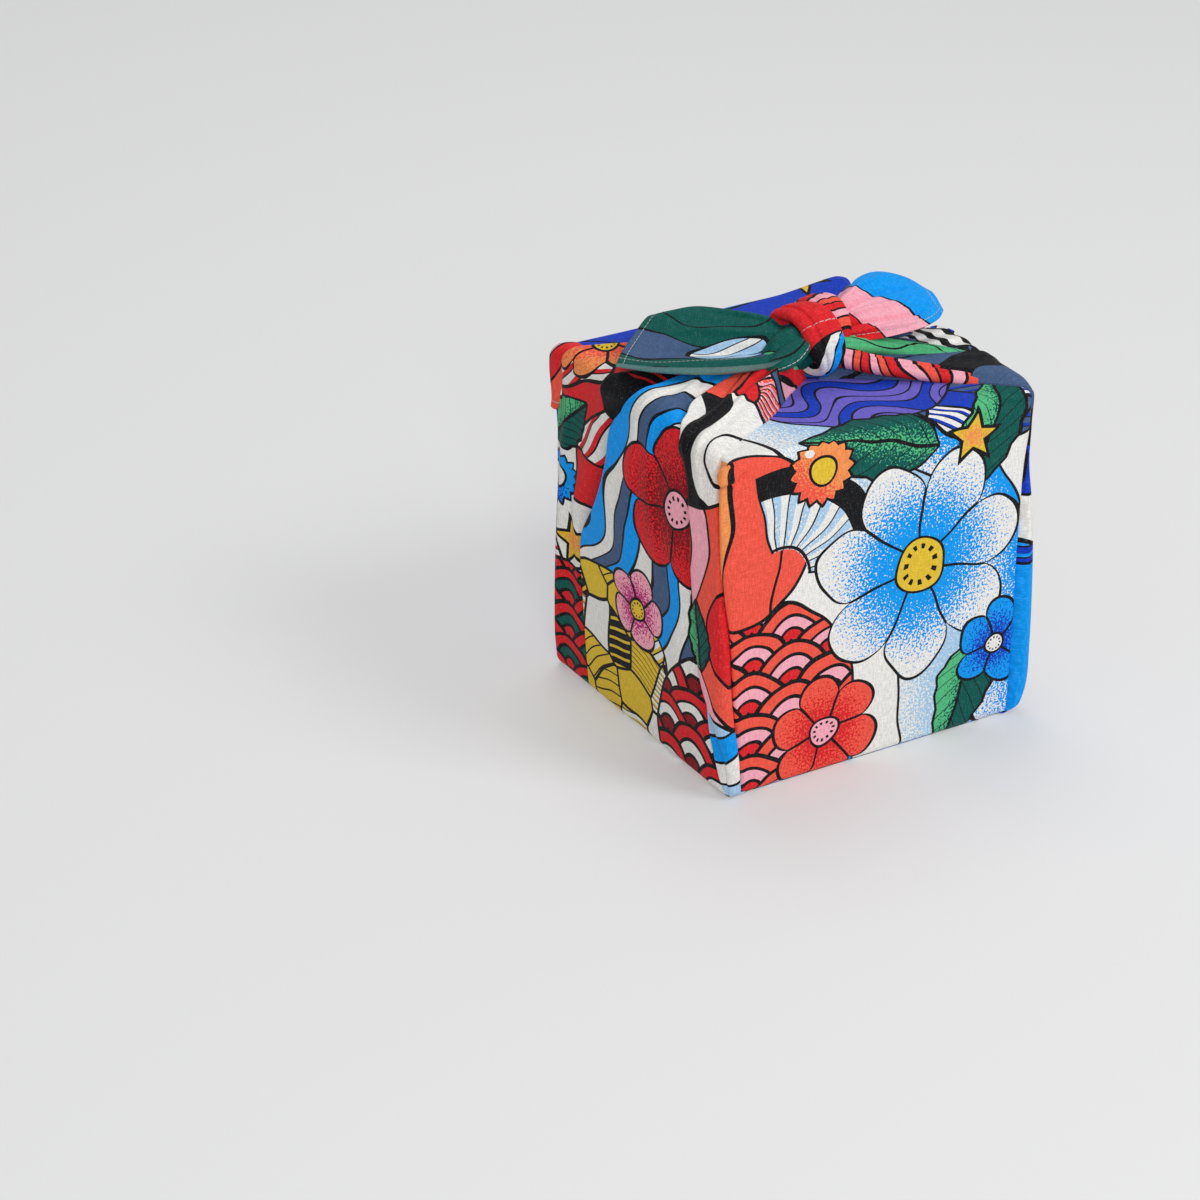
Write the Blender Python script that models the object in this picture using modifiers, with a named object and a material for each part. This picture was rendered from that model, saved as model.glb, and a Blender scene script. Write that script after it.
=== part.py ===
"""A cube-shaped bundle wrapped in one square of cloth and tied on top.

The square lies corner-wise under the load. Its front and back corners make the smooth panels,
which go up and over the top. Its left and right corners are gathered into pleated arms, which
meet in a square knot with two free tails. The cloth and what it wraps are one solid.

Metres, +Z up, the smooth front panel towards -Y. The origin is the middle of the base.
"""

import bmesh
import bpy
import numpy as np

# Driving sizes
WIDTH = 0.230
DEPTH = 0.221
HEIGHT = 0.240
EDGE_RADIUS = 0.007
PANEL_CROWN = 0.0015
TAIL_THICKNESS = 0.0026

# Widths of the creases, each from its middle line to where it ends
STEP_AT_FOLD_A = 0.009
CREST_AT_FOLD_B = 0.012
CREVICE = 0.007
BACK_PLEAT = 0.011
BACK_PLEAT_INSET = 0.014
EAR = 0.011
FRONT_BORDER_STEP = 0.006
BACK_BORDER_STEP = 0.010
KNOT_SIDE = 0.012

# Fineness of the body's mesh: cells along an edge of the cube, how much they crowd towards the
# edges, and the share of the triangles that the thinning keeps
CELLS = 44
CELL_CROWDING = 0.70
TRIANGLES_KEPT = 0.26

# The gathered sides. Each row is one level t: the height on the side face up to HEIGHT, then
# HEIGHT plus the way in from the edge across the top. back, fold_a, fold_b and front are the
# creases' places along Y. Past an edge they run on round the corner. rise_a is how far the
# middle band stands proud at fold_a, crest_b the ridge (or valley) at fold_b, tube the round
# pleat between fold_b and front, groove the depth of the crevice at front, front_ear and
# back_ear the panels' overhang at their corners, and lift the height of the gathered sheet.
FOLD_COLUMNS = ("t", "back", "fold_a", "fold_b", "front", "rise_a", "crest_b", "tube",
                "groove", "front_ear", "back_ear", "lift")
LEFT_FOLDS = (
    (0.000, 0.121, 0.064, -0.112, -0.1225, 0.0000, 0.0000, 0.0020, 0.0030, 0.000, 0.000, 0.000),
    (0.040, 0.118, 0.065, -0.103, -0.1180, 0.0015, -0.0015, 0.0055, 0.0055, 0.000, 0.000, 0.000),
    (0.075, 0.115, 0.067, -0.082, -0.1135, 0.0030, -0.0020, 0.0070, 0.0060, 0.000, 0.000, 0.000),
    (0.120, 0.112, 0.066, -0.072, -0.1090, 0.0045, -0.0020, 0.0070, 0.0060, 0.001, 0.000, 0.000),
    (0.155, 0.109, 0.043, -0.067, -0.1040, 0.0065, -0.0010, 0.0060, 0.0050, 0.005, 0.000, 0.000),
    (0.190, 0.106, 0.028, -0.067, -0.0995, 0.0070, 0.0010, 0.0045, 0.0040, 0.008, 0.002, 0.000),
    (0.220, 0.103, 0.020, -0.066, -0.0975, 0.0065, 0.0025, 0.0035, 0.0035, 0.008, 0.007, 0.001),
    (0.240, 0.101, 0.003, -0.060, -0.0985, 0.0055, 0.0035, 0.0030, 0.0025, 0.006, 0.006, 0.003),
    (0.272, 0.084, 0.003, -0.046, -0.0800, 0.0045, 0.0040, 0.0030, 0.0000, 0.000, 0.000, 0.006),
    (0.305, 0.054, -0.003, -0.026, -0.0590, 0.0035, 0.0040, 0.0030, 0.0000, 0.000, 0.000, 0.011),
    (0.330, 0.026, -0.009, -0.017, -0.0430, 0.0020, 0.0030, 0.0020, 0.0000, 0.000, 0.000, 0.016),
    (0.352, 0.004, -0.012, -0.015, -0.0330, 0.0000, 0.0000, 0.0000, 0.0000, 0.000, 0.000, 0.020),
)
RIGHT_FOLDS = (
    (0.000, 0.121, 0.030, -0.100, -0.1150, 0.0000, 0.0000, 0.0040, 0.0025, 0.000, 0.000, 0.000),
    (0.020, 0.120, 0.032, -0.094, -0.1135, 0.0010, -0.0010, 0.0105, 0.0040, 0.000, 0.000, 0.000),
    (0.050, 0.118, 0.034, -0.091, -0.1125, 0.0020, -0.0015, 0.0125, 0.0045, 0.000, 0.000, 0.000),
    (0.100, 0.115, 0.040, -0.090, -0.1120, 0.0040, -0.0020, 0.0120, 0.0045, 0.000, 0.000, 0.000),
    (0.155, 0.110, 0.030, -0.088, -0.1115, 0.0055, -0.0010, 0.0085, 0.0045, 0.000, 0.000, 0.000),
    (0.190, 0.107, 0.018, -0.080, -0.1110, 0.0060, 0.0000, 0.0035, 0.0040, 0.001, 0.002, 0.000),
    (0.215, 0.105, 0.006, -0.070, -0.1090, 0.0060, 0.0010, 0.0025, 0.0035, 0.003, 0.005, 0.001),
    (0.240, 0.101, -0.006, -0.060, -0.1070, 0.0050, 0.0020, 0.0030, 0.0025, 0.003, 0.005, 0.003),
    (0.272, 0.072, -0.008, -0.056, -0.0840, 0.0030, 0.0020, 0.0025, 0.0000, 0.000, 0.000, 0.005),
    (0.305, 0.042, -0.010, -0.044, -0.0640, 0.0015, 0.0010, 0.0020, 0.0000, 0.000, 0.000, 0.008),
    (0.330, 0.022, -0.011, -0.030, -0.0480, 0.0000, 0.0000, 0.0010, 0.0000, 0.000, 0.000, 0.012),
    (0.352, 0.006, -0.012, -0.020, -0.0340, 0.0000, 0.0000, 0.0000, 0.0000, 0.000, 0.000, 0.018),
)

# The right arm's ropes across the top, and the knot, are tubes of oval section. Each row is a
# place on the tube's middle line, with its half width and half thickness there. across is the
# direction of the width. The last one is the cloth gathered under the right tail.
TUBE_COLUMNS = ("x", "y", "z", "half_width", "half_thickness")
FRONT_ROPE = dict(across=(0.5, 0.8, 0.2), closed=False, rows=(
    (0.004, -0.020, 0.2560, 0.0090, 0.0080),
    (0.022, -0.033, 0.2530, 0.0080, 0.0065),
    (0.034, -0.043, 0.2500, 0.0075, 0.0060),
    (0.050, -0.053, 0.2470, 0.0075, 0.0055),
    (0.068, -0.064, 0.2440, 0.0080, 0.0050),
    (0.090, -0.077, 0.2415, 0.0090, 0.0045),
    (0.110, -0.086, 0.2385, 0.0100, 0.0040),
))
MIDDLE_ROPE = dict(across=(0.3, 0.9, 0.2), closed=False, rows=(
    (0.010, -0.018, 0.2600, 0.0080, 0.0070),
    (0.030, -0.028, 0.2590, 0.0065, 0.0060),
    (0.050, -0.032, 0.2550, 0.0065, 0.0055),
    (0.070, -0.038, 0.2500, 0.0070, 0.0050),
    (0.089, -0.046, 0.2450, 0.0085, 0.0050),
    (0.112, -0.060, 0.2385, 0.0110, 0.0040),
))
BACK_ROPE = dict(across=(0.1, 1.0, 0.0), closed=False, rows=(
    (0.016, -0.002, 0.2540, 0.0100, 0.0090),
    (0.044, -0.010, 0.2500, 0.0120, 0.0080),
    (0.068, -0.012, 0.2460, 0.0150, 0.0070),
    (0.090, -0.010, 0.2420, 0.0210, 0.0065),
    (0.111, -0.006, 0.2370, 0.0300, 0.0060),
))
FRONT_BAND = dict(across=(0.95, -0.20, 0.15), closed=True, rows=(
    (-0.002, 0.004, 0.2750, 0.0100, 0.0055),
    (0.003, -0.008, 0.2800, 0.0120, 0.0060),
    (0.006, -0.020, 0.2770, 0.0130, 0.0060),
    (0.006, -0.030, 0.2690, 0.0130, 0.0060),
    (0.007, -0.034, 0.2590, 0.0115, 0.0060),
    (0.007, -0.032, 0.2500, 0.0070, 0.0055),
    (0.005, -0.021, 0.2460, 0.0090, 0.0060),
    (0.001, -0.007, 0.2500, 0.0100, 0.0060),
    (-0.003, 0.003, 0.2630, 0.0100, 0.0055),
))
BACK_BAND = dict(across=(0.90, -0.38, 0.10), closed=True, rows=(
    (0.025, 0.018, 0.2680, 0.0105, 0.0055),
    (0.026, 0.006, 0.2775, 0.0115, 0.0060),
    (0.023, -0.010, 0.2770, 0.0115, 0.0060),
    (0.021, -0.020, 0.2670, 0.0110, 0.0060),
    (0.021, -0.015, 0.2520, 0.0105, 0.0060),
    (0.023, 0.006, 0.2500, 0.0105, 0.0060),
))
CORE = dict(across=(0.0, 1.0, 0.0), closed=False, rows=(
    (-0.030, -0.018, 0.2470, 0.0130, 0.0090),
    (-0.012, -0.014, 0.2570, 0.0135, 0.0145),
    (0.008, -0.013, 0.2595, 0.0140, 0.0165),
    (0.028, -0.010, 0.2580, 0.0135, 0.0150),
    (0.048, -0.008, 0.2490, 0.0130, 0.0090),
))
CURL_LOBE = dict(across=(0.35, -0.85, -0.15), closed=False, rows=(
    (-0.006, -0.024, 0.2670, 0.0045, 0.0040),
    (-0.013, -0.029, 0.2660, 0.0075, 0.0040),
    (-0.021, -0.031, 0.2630, 0.0090, 0.0035),
    (-0.030, -0.032, 0.2600, 0.0070, 0.0030),
    (-0.039, -0.031, 0.2575, 0.0030, 0.0020),
))
TAIL_PLEAT = dict(across=(0.1, 1.0, 0.0), closed=False, rows=(
    (0.026, -0.006, 0.2620, 0.0090, 0.0080),
    (0.044, -0.004, 0.2640, 0.0130, 0.0110),
    (0.062, 0.000, 0.2640, 0.0160, 0.0130),
    (0.080, 0.001, 0.2625, 0.0140, 0.0110),
    (0.096, -0.002, 0.2600, 0.0070, 0.0060),
))
TUBES = (
    # name, tube, steps along, steps round
    ("core", CORE, 10, 14),
    ("pleat under the right tail", TAIL_PLEAT, 9, 14),
    ("front rope", FRONT_ROPE, 12, 10),
    ("middle rope", MIDDLE_ROPE, 12, 10),
    ("back rope", BACK_ROPE, 10, 12),
    ("front band", FRONT_BAND, 28, 14),
    ("back band", BACK_BAND, 22, 12),
    ("curl lobe", CURL_LOBE, 8, 10),
)

# The free tails: cupped leaves. Each row is one station from the knot outwards, and each
# column a place across it: hem, near side, trough or crown, far side, crest, turned-down back.
LEFT_TAIL = (
    ((-0.002, -0.022, 0.262), (-0.003, -0.018, 0.262), (-0.004, -0.012, 0.263), (-0.003, -0.006, 0.267),
     (-0.001, 0.000, 0.270), (0.001, 0.006, 0.262)),
    ((-0.032, -0.037, 0.2640), (-0.031, -0.030, 0.2595), (-0.028, -0.016, 0.2600), (-0.023, -0.003, 0.2660),
     (-0.018, 0.009, 0.2760), (-0.012, 0.022, 0.2640)),
    ((-0.056, -0.033, 0.2640), (-0.054, -0.024, 0.2585), (-0.048, -0.006, 0.2585), (-0.040, 0.012, 0.2660),
     (-0.031, 0.028, 0.2780), (-0.022, 0.044, 0.2620)),
    ((-0.078, -0.022, 0.2640), (-0.075, -0.012, 0.2575), (-0.067, 0.008, 0.2570), (-0.056, 0.028, 0.2650),
     (-0.044, 0.046, 0.2780), (-0.032, 0.060, 0.2590)),
    ((-0.100, 0.000, 0.2615), (-0.096, 0.010, 0.2560), (-0.086, 0.026, 0.2555), (-0.073, 0.041, 0.2630),
     (-0.058, 0.055, 0.2740), (-0.043, 0.070, 0.2560)),
    ((-0.121, 0.028, 0.2590), (-0.115, 0.034, 0.2545), (-0.103, 0.044, 0.2545), (-0.088, 0.054, 0.2600),
     (-0.069, 0.064, 0.2680), (-0.050, 0.078, 0.2530)),
)
RIGHT_TAIL = (
    ((0.019, -0.023, 0.2600), (0.019, -0.019, 0.2640), (0.019, -0.014, 0.2670), (0.019, -0.008, 0.2690),
     (0.020, -0.002, 0.2670), (0.021, 0.003, 0.2620)),
    ((0.042, -0.035, 0.2625), (0.041, -0.028, 0.2690), (0.040, -0.018, 0.2745), (0.040, -0.008, 0.2800),
     (0.043, 0.004, 0.2800), (0.047, 0.016, 0.2620)),
    ((0.058, -0.041, 0.2650), (0.057, -0.032, 0.2700), (0.056, -0.019, 0.2755), (0.056, -0.004, 0.2830),
     (0.059, 0.012, 0.2850), (0.066, 0.028, 0.2580)),
    ((0.074, -0.045, 0.2680), (0.073, -0.036, 0.2715), (0.073, -0.022, 0.2765), (0.073, -0.004, 0.2835),
     (0.077, 0.014, 0.2850), (0.086, 0.030, 0.2560)),
    ((0.088, -0.042, 0.2700), (0.088, -0.035, 0.2720), (0.089, -0.023, 0.2765), (0.090, -0.007, 0.2810),
     (0.094, 0.007, 0.2800), (0.102, 0.022, 0.2560)),
    ((0.098, -0.033, 0.2700), (0.099, -0.029, 0.2715), (0.101, -0.021, 0.2740), (0.103, -0.012, 0.2750),
     (0.105, -0.002, 0.2720), (0.110, 0.008, 0.2580)),
)


def follow(keys, values, at):
    """Values read along a smooth cubic curve through the rows at their keys."""
    keys, values, at = np.asarray(keys, float), np.asarray(values, float), np.asarray(at, float)
    slopes = np.gradient(values, keys, axis=0)
    low = np.clip(np.searchsorted(keys, at, side="right") - 1, 0, len(keys) - 2)
    span = keys[low + 1] - keys[low]
    q = np.clip((at - keys[low]) / span, 0, 1)
    shape = q.shape + (1,) * (values.ndim - 1)
    q, span = q.reshape(shape), span.reshape(shape)
    ends = (2 * q**3 - 3 * q**2 + 1) * values[low] + (3 * q**2 - 2 * q**3) * values[low + 1]
    return ends + span * ((q**3 - 2 * q**2 + q) * slopes[low] + (q**3 - q**2) * slopes[low + 1])


def soft_step(q):
    """0 below 0, 1 above 1, and smooth between."""
    q = np.clip(q, 0, 1)
    return q * q * (3 - 2 * q)


def hill(q):
    """A soft ridge of height 1 at q = 0 that ends at q = -1 and 1."""
    return soft_step(1 - np.abs(q))


def round_top(q):
    """The round back of a pleat across q = 0 to 1."""
    return np.sqrt(np.clip(1 - (2 * q - 1) ** 2, 0, 1)) * soft_step(6 * q) * soft_step(6 * (1 - q))


def columns(rows, names, at):
    """Each named column of a fold table, read at the levels given."""
    table = np.array(rows)
    return {name: follow(table[:, 0], table[:, i], at) for i, name in enumerate(names) if i}


def gathered_relief(rows, t, y_front, y_back):
    """How far a gathered side stands out from the flat face, and how far its ears overhang."""
    at = columns(rows, FOLD_COLUMNS, t)
    from_a = at["fold_a"] - y_front
    from_b = at["fold_b"] - y_front
    middle_band = np.clip(1 - from_a / (at["fold_a"] - at["fold_b"]), 0, 1)
    pleat = np.clip(from_b / (at["fold_b"] - at["front"]), 0, 1)
    from_front = y_front - at["front"]
    to_back = at["back"] - y_back
    relief = at["rise_a"] * soft_step(from_a / STEP_AT_FOLD_A) * middle_band**0.8
    relief += at["crest_b"] * hill(from_b / CREST_AT_FOLD_B)
    relief += at["tube"] * round_top(pleat)
    relief -= at["groove"] * (hill(from_front / CREVICE) + 0.5 * hill(to_back / CREVICE))
    relief += 0.5 * at["tube"] * hill((to_back - BACK_PLEAT_INSET) / BACK_PLEAT)
    inside = soft_step(from_front / FRONT_BORDER_STEP) * soft_step(to_back / BACK_BORDER_STEP)
    relief += at["lift"] * inside
    ears = at["front_ear"] * hill((y_front + DEPTH / 2) / EAR)
    ears += at["back_ear"] * hill((y_back - DEPTH / 2) / EAR)
    return relief, ears


def top_relief(x, y):
    """The two gathered sheets over the flat top, each from its own edge as far as the knot."""
    relief = np.zeros_like(x)
    for rows, inward in ((LEFT_FOLDS, x), (RIGHT_FOLDS, -x)):
        t = HEIGHT + np.clip(inward + WIDTH / 2, 0, None)
        sheet, _ = gathered_relief(rows, t, y, y)
        relief = np.maximum(relief, sheet * soft_step((KNOT_SIDE - inward) / KNOT_SIDE))
    return relief


def body_place(points):
    """Moves the points of a unit cube's skin to the wrapped box: a rounded box and its folds."""
    crowd = np.pi / 2 * CELL_CROWDING
    half = np.array([WIDTH, DEPTH, HEIGHT]) / 2
    square = np.sin(points * crowd) / np.sin(crowd) * half
    core = np.clip(square, -half + EDGE_RADIUS, half - EDGE_RADIUS)
    normal = square - core
    normal /= np.linalg.norm(normal, axis=1, keepdims=True)
    place = core + normal * EDGE_RADIUS
    place[:, 2] += HEIGHT / 2
    x, y, z = place.T
    left = x < 0
    round_corner = WIDTH / 2 - np.abs(x)
    y_front = np.where(y < 0, y - round_corner, y)
    y_back = np.where(y > 0, y + round_corner, y)
    side_left, ear_left = gathered_relief(LEFT_FOLDS, z, y_front, y_back)
    side_right, ear_right = gathered_relief(RIGHT_FOLDS, z, y_front, y_back)
    side = np.where(left, side_left, side_right)
    crown = (1 - (2 * x / WIDTH) ** 2) * (1 - (2 * y / DEPTH) ** 2) * (1 - (2 * z / HEIGHT - 1) ** 2)
    up = normal[:, 2] ** 2 * (normal[:, 2] > 0)
    down = normal[:, 2] ** 2 * (normal[:, 2] < 0)
    out = side * (1 - up - down) + top_relief(x, y) * up + PANEL_CROWN * crown * (1 - down)
    place += normal * out[:, None]
    overhang = np.where(left, -ear_left, ear_right) * (1 - up - down)
    place[:, 0] += overhang
    return place


def mesh_object(name, mesh):
    """An object of this mesh, in the scene."""
    made = bpy.data.objects.new(name, mesh)
    bpy.context.scene.collection.objects.link(made)
    return made


def bundle_body():
    """The wrapped box: a cube cut into small cells, whose corners go where the folds put them."""
    grid = bmesh.new()
    bmesh.ops.create_cube(grid, size=2.0)
    bmesh.ops.subdivide_edges(grid, edges=grid.edges[:], cuts=CELLS - 1, use_grid_fill=True)
    mesh = bpy.data.meshes.new("body")
    grid.to_mesh(mesh)
    grid.free()
    flat = np.empty(len(mesh.vertices) * 3)
    mesh.vertices.foreach_get("co", flat)
    mesh.vertices.foreach_set("co", body_place(flat.reshape(-1, 3)).ravel())
    body = mesh_object("body", mesh)
    thinned = body.modifiers.new("fewer faces", "DECIMATE")
    thinned.ratio = TRIANGLES_KEPT
    return body


def grid_mesh(name, points, closed_across=False, closed_along=False):
    """A mesh of quads on a grid of points, with open ends closed by caps where it is a tube."""
    along, across = points.shape[:2]
    index = np.arange(along * across).reshape(along, across)
    if closed_along:
        index = np.vstack([index, index[:1]])
    if closed_across:
        index = np.hstack([index, index[:, :1]])
    corners = (index[:-1, :-1], index[1:, :-1], index[1:, 1:], index[:-1, 1:])
    faces = np.stack(corners, axis=-1).reshape(-1, 4).tolist()
    if closed_across and not closed_along:
        faces += [index[0, :-1].tolist(), index[-1, -2::-1].tolist()]
    mesh = bpy.data.meshes.new(name)
    mesh.from_pydata(points.reshape(-1, 3).tolist(), [], faces)
    return mesh


def outward(made):
    """Turns the faces of a closed shape outwards."""
    edit = bmesh.new()
    edit.from_mesh(made.data)
    bmesh.ops.recalc_face_normals(edit, faces=edit.faces[:])
    edit.to_mesh(made.data)
    edit.free()
    return made


def oval_tube(name, band, steps_along, steps_round):
    """A tube of oval section along a band's rows."""
    rows = np.array(band["rows"])
    if band["closed"]:
        rows = np.vstack([rows[-1:], rows, rows[:2]])
        at = np.linspace(0, len(rows) - 3, steps_along, endpoint=False)
        section = follow(np.arange(-1, len(rows) - 1), rows, at)
    else:
        section = follow(np.arange(len(rows)), rows, np.linspace(0, len(rows) - 1, steps_along))
    middle = section[:, :3]
    if band["closed"]:
        ahead = np.roll(middle, -1, axis=0) - np.roll(middle, 1, axis=0)
    else:
        ahead = np.gradient(middle, axis=0)
    ahead /= np.linalg.norm(ahead, axis=1, keepdims=True)
    across = np.array(band["across"]) - ahead * (ahead @ np.array(band["across"]))[:, None]
    across /= np.linalg.norm(across, axis=1, keepdims=True)
    thick = np.cross(ahead, across)
    turn = np.linspace(0, 2 * np.pi, steps_round, endpoint=False)
    half_width, half_thickness = (
        section[:, [TUBE_COLUMNS.index(name)]] for name in ("half_width", "half_thickness")
    )
    wide = np.cos(turn)[None, :, None] * (across * half_width)[:, None, :]
    high = np.sin(turn)[None, :, None] * (thick * half_thickness)[:, None, :]
    points = middle[:, None, :] + wide + high
    return outward(mesh_object(name, grid_mesh(name, points, True, band["closed"])))


def leaf(name, stations, steps_along, steps_across):
    """A cupped sheet through the stations, with the cloth's thickness."""
    rows = np.array(stations)
    rows = follow(np.arange(len(rows)), rows, np.linspace(0, len(rows) - 1, steps_along))
    rows = rows.transpose(1, 0, 2)
    points = follow(np.arange(len(rows)), rows, np.linspace(0, len(rows) - 1, steps_across))
    sheet = mesh_object(name, grid_mesh(name, points.transpose(1, 0, 2)))
    wall = sheet.modifiers.new("cloth", "SOLIDIFY")
    wall.thickness = TAIL_THICKNESS
    wall.offset = 0
    return sheet


def settle(made):
    """Makes an object's modifiers part of its mesh."""
    graph = bpy.context.evaluated_depsgraph_get()
    mesh = bpy.data.meshes.new_from_object(made.evaluated_get(graph))
    made.modifiers.clear()
    made.data = mesh
    return made


def fuse(body, others):
    """Joins the others to the body as one solid and removes them."""
    for other in others:
        join = body.modifiers.new("join", "BOOLEAN")
        join.operation = "UNION"
        join.use_self = True
        join.object = other
        settle(body)
        bpy.data.objects.remove(other)
    return body


def printed_cloth():
    """The cloth's plain colour: the mean of its bright print."""
    cloth = bpy.data.materials.new("printed cloth")
    cloth.use_nodes = True
    surface = cloth.node_tree.nodes["Principled BSDF"]
    surface.inputs["Base Color"].default_value = (0.42, 0.20, 0.22, 1)
    surface.inputs["Roughness"].default_value = 0.72
    surface.inputs["Metallic"].default_value = 0.0
    return cloth


def main():
    for old in list(bpy.data.objects):
        bpy.data.objects.remove(old)
    wrap = settle(bundle_body())
    pieces = [oval_tube(*tube) for tube in TUBES]
    pieces.append(outward(settle(leaf("left tail", LEFT_TAIL, 16, 14))))
    pieces.append(outward(settle(leaf("right tail", RIGHT_TAIL, 14, 14))))
    fuse(wrap, pieces)
    wrap.name = "furoshiki_wrap"
    wrap.data.name = "furoshiki_wrap"
    wrap.data.materials.clear()
    wrap.data.materials.append(printed_cloth())
    wrap.data.shade_smooth()
    group = bpy.data.collections.new("furoshiki wrap")
    bpy.context.scene.collection.children.link(group)
    bpy.context.scene.collection.objects.unlink(wrap)
    group.objects.link(wrap)


main()
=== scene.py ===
"""A printed furoshiki square wrapped round a box and tied on top, dressed in its cloth.

Every visible region of the one hemmed square is a thin sheet on the solid's own folds: the smooth
front and back cloths, the gathered sides that go up over the edges into the knot, the ropes, the
knot's bands and the two free tails. +Z is up and the front cloth faces -Y. Lengths are metres,
but millimetres in the tables, which columns(), RolledBand, Tail and Stamp read.
"""

import logging
from collections.abc import Callable
from dataclasses import dataclass
from enum import Enum
from functools import cache

import bpy
import numpy as np
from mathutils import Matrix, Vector


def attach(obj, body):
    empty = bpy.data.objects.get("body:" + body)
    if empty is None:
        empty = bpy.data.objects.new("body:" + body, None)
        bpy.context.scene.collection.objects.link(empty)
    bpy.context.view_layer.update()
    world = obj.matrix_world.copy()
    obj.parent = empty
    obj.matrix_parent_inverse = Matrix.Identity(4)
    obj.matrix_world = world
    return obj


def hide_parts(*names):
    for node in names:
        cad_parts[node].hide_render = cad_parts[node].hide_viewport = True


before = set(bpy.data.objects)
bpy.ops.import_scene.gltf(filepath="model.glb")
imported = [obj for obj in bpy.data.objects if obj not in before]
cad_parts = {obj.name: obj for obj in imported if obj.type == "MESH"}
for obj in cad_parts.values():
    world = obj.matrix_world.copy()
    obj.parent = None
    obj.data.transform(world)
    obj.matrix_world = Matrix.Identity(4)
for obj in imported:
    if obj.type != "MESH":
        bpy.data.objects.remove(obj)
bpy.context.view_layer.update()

LOG = logging.getLogger("furoshiki")
Array = np.ndarray
Tree = bpy.types.NodeTree
Piece = bpy.types.Object
Triple = tuple[float, float, float]
Table = tuple[tuple[float, ...], ...]
MM = 0.001
CELL = 0.0014
FOOT = -0.006
HEM_WIDTH = 0.0047


# Curves and small profiles ------------------------------------------------------------------


def follow(keys: Array, values: Array, at: Array) -> Array:
    """Reads values along a smooth cubic through the rows at their keys.

    Formula: a cubic Hermite segment between two rows, with the rows' mean slopes as tangents.
    Before the first row and after the last, their own values hold.

    Args:
        keys: the rows' places, rising.
        values: one value or point a row.
        at: the places to read.

    Returns:
        The values at those places.
    """
    keys, values, at = (np.asarray(part, float) for part in (keys, values, at))
    slopes = np.gradient(values, keys, axis=0)
    low = np.clip(np.searchsorted(keys, at, side="right") - 1, 0, len(keys) - 2)
    span = keys[low + 1] - keys[low]
    q = np.clip((at - keys[low]) / span, 0, 1)
    shape = q.shape + (1,) * (values.ndim - 1)
    q, span = q.reshape(shape), span.reshape(shape)
    ends = (2 * q**3 - 3 * q**2 + 1) * values[low] + (3 * q**2 - 2 * q**3) * values[low + 1]
    return ends + span * ((q**3 - 2 * q**2 + q) * slopes[low] + (q**3 - q**2) * slopes[low + 1])


def columns(rows: Table, names: tuple[str, ...], at: Array) -> dict[str, Array]:
    """Each named column of a table in millimetres, read in metres at places in its first one."""
    table = np.array(rows) * MM
    return {name: follow(table[:, 0], table[:, i], at) for i, name in enumerate(names) if i}


def soft_step(q: Array) -> Array:
    """0 below 0, 1 above 1, and 3q^2 - 2q^3 between."""
    q = np.clip(q, 0, 1)
    return q * q * (3 - 2 * q)


def hill(q: Array) -> Array:
    """A soft ridge of height 1 at q = 0 that ends at q = -1 and 1."""
    return soft_step(1 - np.abs(q))


def bell(q: Array, width: Array | float) -> Array:
    """exp(-(q / width)^2), which is 1 at q = 0."""
    return np.exp(-((q / width) ** 2))


def pleat_edge(q: Array, short: Array | float, long: Array | float) -> Array:
    """A folded edge, 1 high at q = 0: a bell of width short below 0 and long above it."""
    return bell(q, np.where(q < 0, short, long))


def round_top(q: Array) -> Array:
    """The round back of a pleat across q = 0 to 1: a half ellipse, softened at its start."""
    return np.sqrt(np.clip(1 - (2 * q - 1) ** 2, 0, 1)) * soft_step(6 * q)


def slack(a: Array, b: Array, seed: int) -> Array:
    """Slight unevenness of loose cloth: five sine waves of 30 to 90 mm in mixed directions.

    Args:
        a: the place one way over the cloth, in metres.
        b: the place the other way.
        seed: picks the waves.

    Returns:
        Heights from about -1 to 1.
    """
    pick = np.random.default_rng(seed)
    turn, wave, phase = (pick.uniform(*span, 5) for span in ((0, np.pi), (0.03, 0.09), (0, 6.28)))
    along = a[..., None] * np.cos(turn) + b[..., None] * np.sin(turn)
    return np.sin(2 * np.pi * along / wave + phase).mean(axis=-1) * 1.6


def rolled(start: float, stop: float, steps: int) -> Array:
    """Angles for a folded edge, from start to stop degrees, as one row of radians."""
    return np.radians(np.linspace(start, stop, steps))[None, :]


def length_along(points: Array, axis: int) -> Array:
    """The way gone to each point of a grid, along an axis of it."""
    first = np.take(points, [0], axis=axis)
    return np.cumsum(np.linalg.norm(np.diff(points, axis=axis, prepend=first), axis=-1), axis=axis)


# Nodes --------------------------------------------------------------------------------------

# The Mix node's sockets between its factor and its two colours.
SKIPPED = (None,) * 5


def operator(operation: str) -> Callable[["Wire", "Wire | float"], "Wire"]:
    """A Python operator between wires that adds a Math node."""
    return lambda self, other: self.math(operation, other)


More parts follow.
